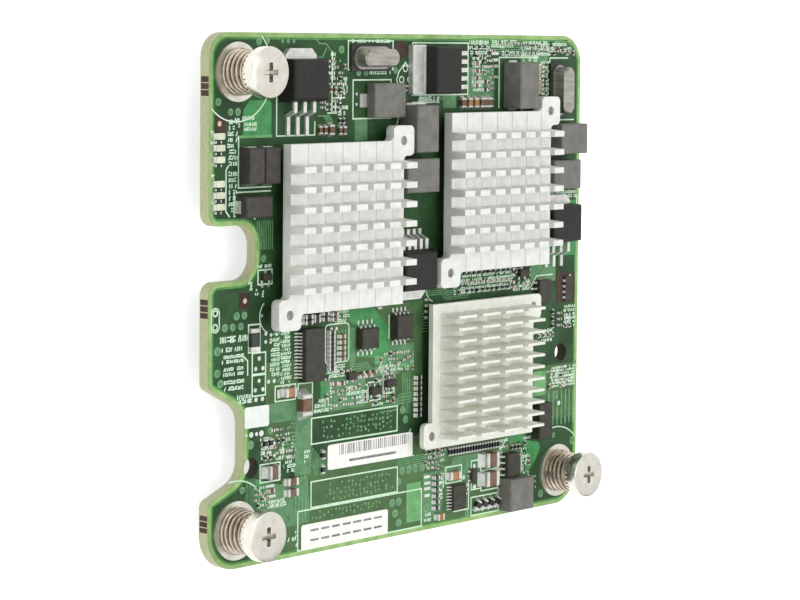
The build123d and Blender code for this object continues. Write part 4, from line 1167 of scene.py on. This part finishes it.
# %% Lines of small parts
# length, width and height of a part
SIZES = {"slim": (1.6, 0.48, 0.45), "tiny": (1.0, 0.5, 0.4), "small": (1.6, 0.8, 0.6),
         "medium": (2.0, 1.25, 0.9)}
lines = [
    # x, y, step x, step y, how many, turn, size, kind
    (-25.7, 31.5, 1.35, 0.0, 2, 90, "small", "brown"), (-22.9, 31.5, 0.0, 0.0, 1, 90, "medium", "brown"),
    (-20.2, 31.3, 1.25, 0.0, 2, 90, "small", "brown"), (-24.9, 35.8, 0.0, 1.0, 2, 0, "tiny", "brown"),
    (-23.4, 35.4, 0.0, 1.0, 2, 0, "tiny", "black"), (-20.2, 33.2, 1.1, 0.0, 2, 90, "tiny", "black"),
    (15.8, 36.2, 0.0, 0.0, 1, 90, "medium", "brown"), (17.8, 36.2, 2.0, 0.0, 2, 90, "medium", "tan"),
    (21.7, 36.2, 1.3, 0.0, 3, 90, "medium", "brown"), (20.0, 44.2, 0.0, -1.5, 4, 0, "small", "brown"),
    (22.6, 40.4, 0.0, -1.6, 2, 0, "small", "black"), (40.9, 43.3, 0.0, -0.98, 6, 15, "tiny", "tan"),
    (42.9, 43.9, 0.0, -1.5, 5, 90, "tiny", "brown"), (29.6, 48.3, 2.2, 0.0, 3, 0, "tiny", "brown"),
    (36.6, 47.9, 1.9, -0.2, 4, 35, "tiny", "brown"), (19.4, 47.6, 1.7, 0.0, 3, 90, "tiny", "black"),
    (46.8, 47.2, 1.6, -0.4, 3, 60, "tiny", "brown"), (-22.2, -7.6, 0.0, -0.88, 9, 0, "small", "black"),
    (-19.3, -8.6, 0.0, -1.1, 5, 0, "small", "brown"), (-28.9, -4.2, 0.0, -0.8, 2, 0, "medium", "black"),
    (-26.4, -4.2, 0.0, -0.8, 2, 0, "small", "black"), (-24.0, -3.8, 0.0, -1.1, 2, 0, "small", "black"),
    (-21.4, -4.1, 0.0, -1.0, 2, 0, "small", "brown"), (-21.3, -17.6, 1.9, -0.2, 2, 0, "small", "brown"),
    (-13.6, -16.6, 1.7, 0.0, 3, 30, "small", "brown"), (-21.0, -19.2, 2.6, 0.0, 3, 0, "tiny", "brown"),
    (-12.6, -20.6, 0.0, -1.0, 2, 0, "tiny", "black"), (-40.1, -27.2, 1.5, 0.0, 2, 90, "small", "black"),
    (-40.1, -30.0, 1.5, 0.0, 2, 90, "tiny", "black"), (-38.5, -36.4, 0.0, 0.0, 1, 0, "small", "brown"),
    (-24.4, -31.2, 0.0, -2.8, 2, 90, "small", "black"), (8.8, -39.6, 0.0, -1.25, 6, 0, "small", "black"),
    (9.9, -47.8, 0.0, 0.0, 1, 0, "medium", "tan"), (10.3, -39.3, 0.0, 0.0, 1, 90, "tiny", "tan"),
    (12.9, -34.9, 0.86, 0.0, 19, 90, "slim", "black"), (3.1, -18.7, 0.0, -1.08, 8, 0, "small", "black"),
    (17.0, 1.4, 1.55, 0.0, 10, 90, "tiny", "black"), (16.8, -0.6, 1.7, 0.0, 9, 0, "tiny", "brown"),
    (18.0, -2.2, 1.6, 0.0, 9, 90, "tiny", "black"), (36.6, -1.9, 1.9, 0.0, 2, 0, "tiny", "brown"),
    (41.0, -1.7, 0.9, -0.1, 4, 60, "tiny", "tan"), (21.6, -46.9, 2.1, 0.0, 4, 62, "medium", "black"),
    (32.9, -36.2, 1.2, 0.0, 3, 90, "tiny", "black"), (36.9, -39.2, 0.0, -1.2, 3, 0, "tiny", "black"),
    (50.2, -2.2, 0.0, -1.2, 4, 0, "tiny", "brown"), (48.4, -9.0, 0.0, -1.3, 3, 0, "tiny", "brown"),
    (46.0, -8.6, 0.0, -1.5, 3, 90, "tiny", "black"), (41.2, -13.4, 1.6, 0.0, 4, 90, "tiny", "brown"),
    (5.8, -3.2, 0.0, -1.2, 4, 0, "tiny", "brown"), (40.2, 6.2, 0.0, 1.3, 5, 0, "tiny", "brown"),
    (-1.2, 39.3, 1.1, 0.0, 2, 90, "tiny", "black"), (0.9, -14.0, -1.5, -0.5, 4, 20, "tiny", "brown"),
    (35.9, 33.6, 1.4, 0.0, 2, 90, "tiny", "tan"),
]
for x, y, dx, dy, count, turn, size, kind in lines:
    for number in range(count):
        chip_part(front_kit, x + number * dx, y + number * dy, turn, *SIZES[size], kind)
print(len(placed), "chip parts with their lines")

# %% [markdown]
# Between those lines the card is crowded with more of the same: tiny parts on a loose grid, each
# straight or turned by a right angle. A place is used only where no CAD solid and no earlier part
# stands, so nothing overlaps. Of a hundred places, about forty-two get a part, thirty a bare pair of
# pads and fourteen a via, and the rest stay empty.

# %% Fill the crowded areas
WIDEST_PART, GRID_X, GRID_Y, HALF_PLACE = 35 * MM, 1.3, 1.1, 0.55
taken = []
for name in cad:
    low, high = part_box(name)
    if name != "circuit_board" and high.x - low.x < WIDEST_PART and high.z > (FRONT + 0.05) * MM:
        taken.append((low, high))


def is_free(x, y, half):
    for low, high in taken:
        if low.x / MM - half < x < high.x / MM + half and low.y / MM - half < y < high.y / MM + half:
            return False
    return all(math.hypot(x - px, y - py) > half + reach for px, py, reach in placed)


random.seed(23)
crowded = [
    # low x, low y, high x, high y
    (-24.0, -22.6, -10.5, -14.2), (-38.4, -31.0, -31.8, -24.0), (18.2, 38.6, 27.2, 49.0),
    (28.0, 45.8, 53.0, 48.9), (13.6, -2.9, 38.6, 1.9), (44.6, -12.4, 53.4, -7.2), (-8.4, -17.0, 2.6, -12.2),
    (-10.0, -23.2, -2.4, -14.8), (-42.6, -39.4, -37.2, -34.6), (28.8, -44.0, 40.0, -34.6),
    (-24.6, 34.2, -17.6, 45.6), (40.4, 35.6, 44.0, 45.2), (5.0, -38.0, 12.0, -30.6),
    (35.6, -46.0, 42.0, -42.0), (44.4, -25.2, 53.2, -20.6),
]
small_pads, small_vias = Stock(), Stock()
for x0, y0, x1, y1 in crowded:
    for column in range(int((x1 - x0) / GRID_X)):
        for row in range(int((y1 - y0) / GRID_Y)):
            x = x0 + GRID_X * (column + 0.5) + random.uniform(-0.12, 0.12)
            y = y0 + GRID_Y * (row + 0.5) + random.uniform(-0.08, 0.08)
            pick, turn = random.random(), random.choice((0, 0, 90))
            if pick > 0.86 or not is_free(x, y, HALF_PLACE):
                continue
            if pick < 0.42:
                kind = random.choice(("brown", "brown", "black"))
                chip_part(front_kit, x, y, turn, 0.9, 0.5, 0.35, kind)
            elif pick < 0.72:
                for side in (-0.33, 0.33):
                    ring = [(px + side, py) for px, py in rounded(0.36, 0.5, 0.08, 2)]
                    patch(small_pads, turned(ring, x, y, turn), "pad")
            else:
                patch(small_vias, circle(x, y, 0.26, 8), "ring")
make_piece("small_pads", small_pads, solder)
make_piece("small_vias", small_vias, via_mask)
print(len(placed), "chip parts on the front")

# %% [markdown]
# The pieces stand for the CAD blocks that they remake, so those are hidden. One mesh for hundreds of
# parts renders fast. The price is that a part can't be picked or moved by itself.

# %% One piece for each finish
make_piece("capacitor_bodies", front_kit["tan"], tan_ceramic, stands_for=["ceramic_capacitors"])
make_piece("brown_capacitor_bodies", front_kit["brown"], brown_ceramic,
           stands_for=["ceramic_capacitors"])
make_piece("black_resistor_bodies", front_kit["black"], black_film_and_hole_shade)
make_piece("plated_ends", front_kit["ends"], tin, stands_for=["chip_part_ends"])
make_piece("solder_fillets", front_kit["fillets"], solder)

# %% [markdown]
# The back lies towards the server's main board and is plainer. It has the same border and mask, and
# a field of vias under each package, with an open middle. All of it is built as if on the front and
# then turned over, so that the same helpers serve.

# %% Border and vias of the back
VIA_PITCH, VIA_COUNT, OPEN_MIDDLE = 1.27, 18, range(5, 13)
back_border, back_vias = Stock(), Stock()
strip(back_border, moved_in(fine_outline, BORDER_MIDDLE), BORDER_WIDTH, "trace", True)
for name in PACKAGES:
    cx, cy = middle_of(name)
    for row in range(VIA_COUNT):
        for column in range(VIA_COUNT):
            if row in OPEN_MIDDLE and column in OPEN_MIDDLE:
                continue
            x = cx + VIA_PITCH * (column - (VIA_COUNT - 1) / 2)
            y = cy + VIA_PITCH * (row - (VIA_COUNT - 1) / 2)
            patch(back_vias, circle(x, y, 0.24, 8), "ring")
make_piece("back_border", back_border.turned_over(), bare_edge)
make_piece("back_vias", back_vias.turned_over(), via_mask)

# %% [markdown]
# Both connectors are soldered along their two long sides. A tail shows at every contact, and traces
# run out from most of them. The rows are as long as the connector's housing in the CAD model.

# %% Tails and traces of the connectors
CONTACT_PITCH, END_MARGIN, TAIL_OUT = 0.8, 1.6, 0.55
tails, back_traces = Stock(), Stock()
for name in ("connector_upper", "connector_lower"):
    low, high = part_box(name)
    left, right = low.x / MM + END_MARGIN, high.x / MM - END_MARGIN
    near, far = low.y / MM, high.y / MM
    for number in range(int((right - left) / CONTACT_PITCH) + 1):
        x = left + CONTACT_PITCH * number
        for y in (near - TAIL_OUT, far + TAIL_OUT):
            block_at(tails, x, y, 0, 0, 0, 0.4, 1.0, FRONT + 0.02, FRONT + 0.2, 0.05)
        if number % 3:
            strip(back_traces, [(x, far + 1.2), (x, far + 3.6)], 0.2, "trace")
            strip(back_traces, [(x, near - 1.2), (x, near - 3.2)], 0.2, "trace")
make_piece("back_traces", back_traces.turned_over(), trace_mask)
make_piece("connector_tails", tails.turned_over(), solder)

# %% [markdown]
# Decoupling capacitors stand under each package, as near its supply pins as they can be. They are in
# the CAD model as plain blocks, and are remade at the same places with their plated ends and solder.

# %% Capacitors of the back
back_kit = {kind: Stock() for kind in KINDS}
for name in PACKAGES:
    cx, cy = middle_of(name)
    for dx in (-5.0, 0.0, 5.0):
        for dy in (-4.0, 4.0):
            chip_part(back_kit, cx + dx, cy + dy, 0, 1.6, 0.8, 0.65, "tan")
make_piece("back_capacitor_bodies", back_kit["tan"].turned_over(), tan_ceramic,
           stands_for=["decoupling_capacitors"])
make_piece("back_plated_ends", back_kit["ends"].turned_over(), tin)
make_piece("back_solder_fillets", back_kit["fillets"].turned_over(), solder)

# %% [markdown]
# Five tiny transistors stand among the capacitors. They are short dark blocks with three leads, two
# on one side and one on the other. At their size a lead is one small block lying on the board.

# %% Tiny transistors
small_blocks, small_leads = Stock(), Stock()
for x, y, length, width in ((-9.7, -20.1, 2.9, 1.5), (-5.4, -19.0, 2.9, 1.5), (-16.6, -16.5, 2.4, 1.6),
                            (35.6, 0.4, 2.6, 1.6), (-40.1, 4.3, 2.2, 1.3)):
    block_at(small_blocks, x, y, 0, 0, 0, length, width, FRONT + 0.1, FRONT + 1.0, 0.12)
    for ax, side in ((-0.95, -1), (0.95, -1), (0, 1)):
        block_at(small_leads, x, y, 0, ax, side * (width / 2 + 0.3), 0.45, 0.7, FRONT + 0.03, FRONT + 0.22,
                 0.05)
make_piece("tiny_transistors", small_blocks, chip_epoxy)
make_piece("tiny_transistor_leads", small_leads, tin)

# %% [markdown]
# The regulator at the top middle is soldered down by a wide plated tab. It was stamped, so its edge
# is rounded and its middle lies a little lower. That is a loft of five rings, each set further in.

# %% The wide tab
TAB_LENGTH, TAB_WIDTH = 4.0, 9.9
tab = Stock()
tab.loft([raised(turned(rounded(TAB_LENGTH - inset, TAB_WIDTH - inset, 0.4, 4), 1.6, 42.95, 0), FRONT + level)
          for inset, level in ((0, 0.02), (0, 1.25), (0.16, 1.36), (0.9, 1.36), (1.1, 1.31))])
make_piece("wide_tab_top_middle", tab, lead_metal)

# %% [markdown]
# Two paper labels are stuck on the card. One gets a row of upright bars with one long bar under it,
# and the other gets two rows of short bars. A picture could hold them, but thin blocks of ink need
# no picture and stay sharp from close by.

# %% Plain bars on the labels
bar_ink = grained("bar_ink", (120, 118, 118), (150, 148, 148), 0.7, cells=1800, specular=0.2)
bars = Stock()


def bar(x, y, length, width):
    block_at(bars, x, y, 0, 0, 0, length, width, FRONT + 0.1, FRONT + 0.115)


random.seed(3)
x = -19.6
while x < 0.4:
    width = random.choice((0.14, 0.2, 0.32))
    bar(x + width / 2, -30.75, width, 2.0)
    x += width + random.choice((0.18, 0.28, 0.42))
bar(-10.0, -33.1, 13.6, 0.5)
for y in (-45.5, -47.4):
    for k in range(7):
        bar(-26.4 + 3.0 * k, y, 2.3, 0.42)
make_piece("label_bars", bars, bar_ink)

# %% [markdown]
# The card lies on a pale studio floor. More light would make the floor white but bleach the card, so
# the floor glows a little instead, only to the camera and in reflections. It reads as white and
# still keeps the card's soft shadow.

# %% Floor
FLOOR_HALF, FLOOR_GLOW = 1.6, 0.7


def studio_floor():
    mesh = bpy.data.meshes.new("studio_floor")
    square = [(a * FLOOR_HALF, b * FLOOR_HALF, 0) for a, b in ((-1, -1), (1, -1), (1, 1), (-1, 1))]
    mesh.from_pydata(square, [], [(0, 1, 2, 3)])
    floor = bpy.data.objects.new("studio_floor", mesh)
    bpy.context.scene.collection.objects.link(floor)
    material, tree, shader = new_finish("white_sweep")
    shader.inputs["Base Color"].default_value = (0.8, 0.8, 0.8, 1)
    shader.inputs["Roughness"].default_value = 0.9
    shader.inputs["Specular IOR Level"].default_value = 0.1
    glow = tree.nodes.new("ShaderNodeEmission")
    path = tree.nodes.new("ShaderNodeLightPath")
    seen = arithmetic(tree, "MAXIMUM")
    link(tree, path, "Is Camera Ray", seen, 0)
    link(tree, path, "Is Glossy Ray", seen, 1)
    strength = arithmetic(tree, "MULTIPLY", FLOOR_GLOW)
    link(tree, seen, "Value", strength, 0)
    link(tree, strength, "Value", glow, "Strength")
    add = tree.nodes.new("ShaderNodeAddShader")
    link(tree, shader, "BSDF", add, 0)
    link(tree, glow, "Emission", add, 1)
    link(tree, add, "Shader", tree.nodes["Material Output"], "Surface")
    mesh.materials.append(material)
    print("floor of", 2 * FLOOR_HALF, "m")


studio_floor()

# %% [markdown]
# Product light for metal is large and soft. The key panel hangs on the right, where the heatsinks'
# flat faces mirror it to the camera. A second panel hangs over the card, and two weaker ones open
# the shadows on the near and left sides. A pale world fills in the rest.

# %% Lamps and world
def panel(name, place, size, power):
    data = bpy.data.lights.new(name, "AREA")
    data.shape = "SQUARE"
    data.size = size
    data.energy = power
    lamp = bpy.data.objects.new(name, data)
    bpy.context.scene.collection.objects.link(lamp)
    lamp.location = place
    lamp.rotation_euler = (-Vector(place)).to_track_quat("-Z", "Y").to_euler()
    print(f"{name}: {power} W, {size} m wide")


panel("key_panel", (0.42, 0.12, 0.5), 1.2, 3.0)
panel("front_panel", (-0.12, 0.06, 0.8), 0.7, 2.3)
panel("near_panel", (-0.1, -0.65, 0.4), 0.9, 1.5)
panel("left_panel", (-0.65, -0.05, 0.35), 0.8, 0.8)
world = bpy.data.worlds.new("studio")
bpy.context.scene.world = world
world.use_nodes = True
background = world.node_tree.nodes["Background"]
background.inputs["Color"].default_value = (1, 1, 1, 1)
background.inputs["Strength"].default_value = 0.46
bpy.context.scene.view_settings.view_transform = "Standard"

# %% [markdown]
# The camera stands where the photograph's did: above the card on its left, half a metre away, with a
# long lens. A small shift does the photograph's framing.

# %% Camera
camera_data = bpy.data.cameras.new("camera")
camera_data.lens = 114.789
camera_data.sensor_width = 36
camera_data.shift_y = -0.125
camera_data.clip_start = 0.01
camera = bpy.data.objects.new("camera", camera_data)
bpy.context.scene.collection.objects.link(camera)
camera.location = (-0.376693, 0.048608, 0.346422)
camera.rotation_euler = [math.radians(angle) for angle in (-4.09088, -47.86539, 0.70737)]
bpy.context.scene.camera = camera
print(f"camera {camera.location.length:.3f} m from the card")
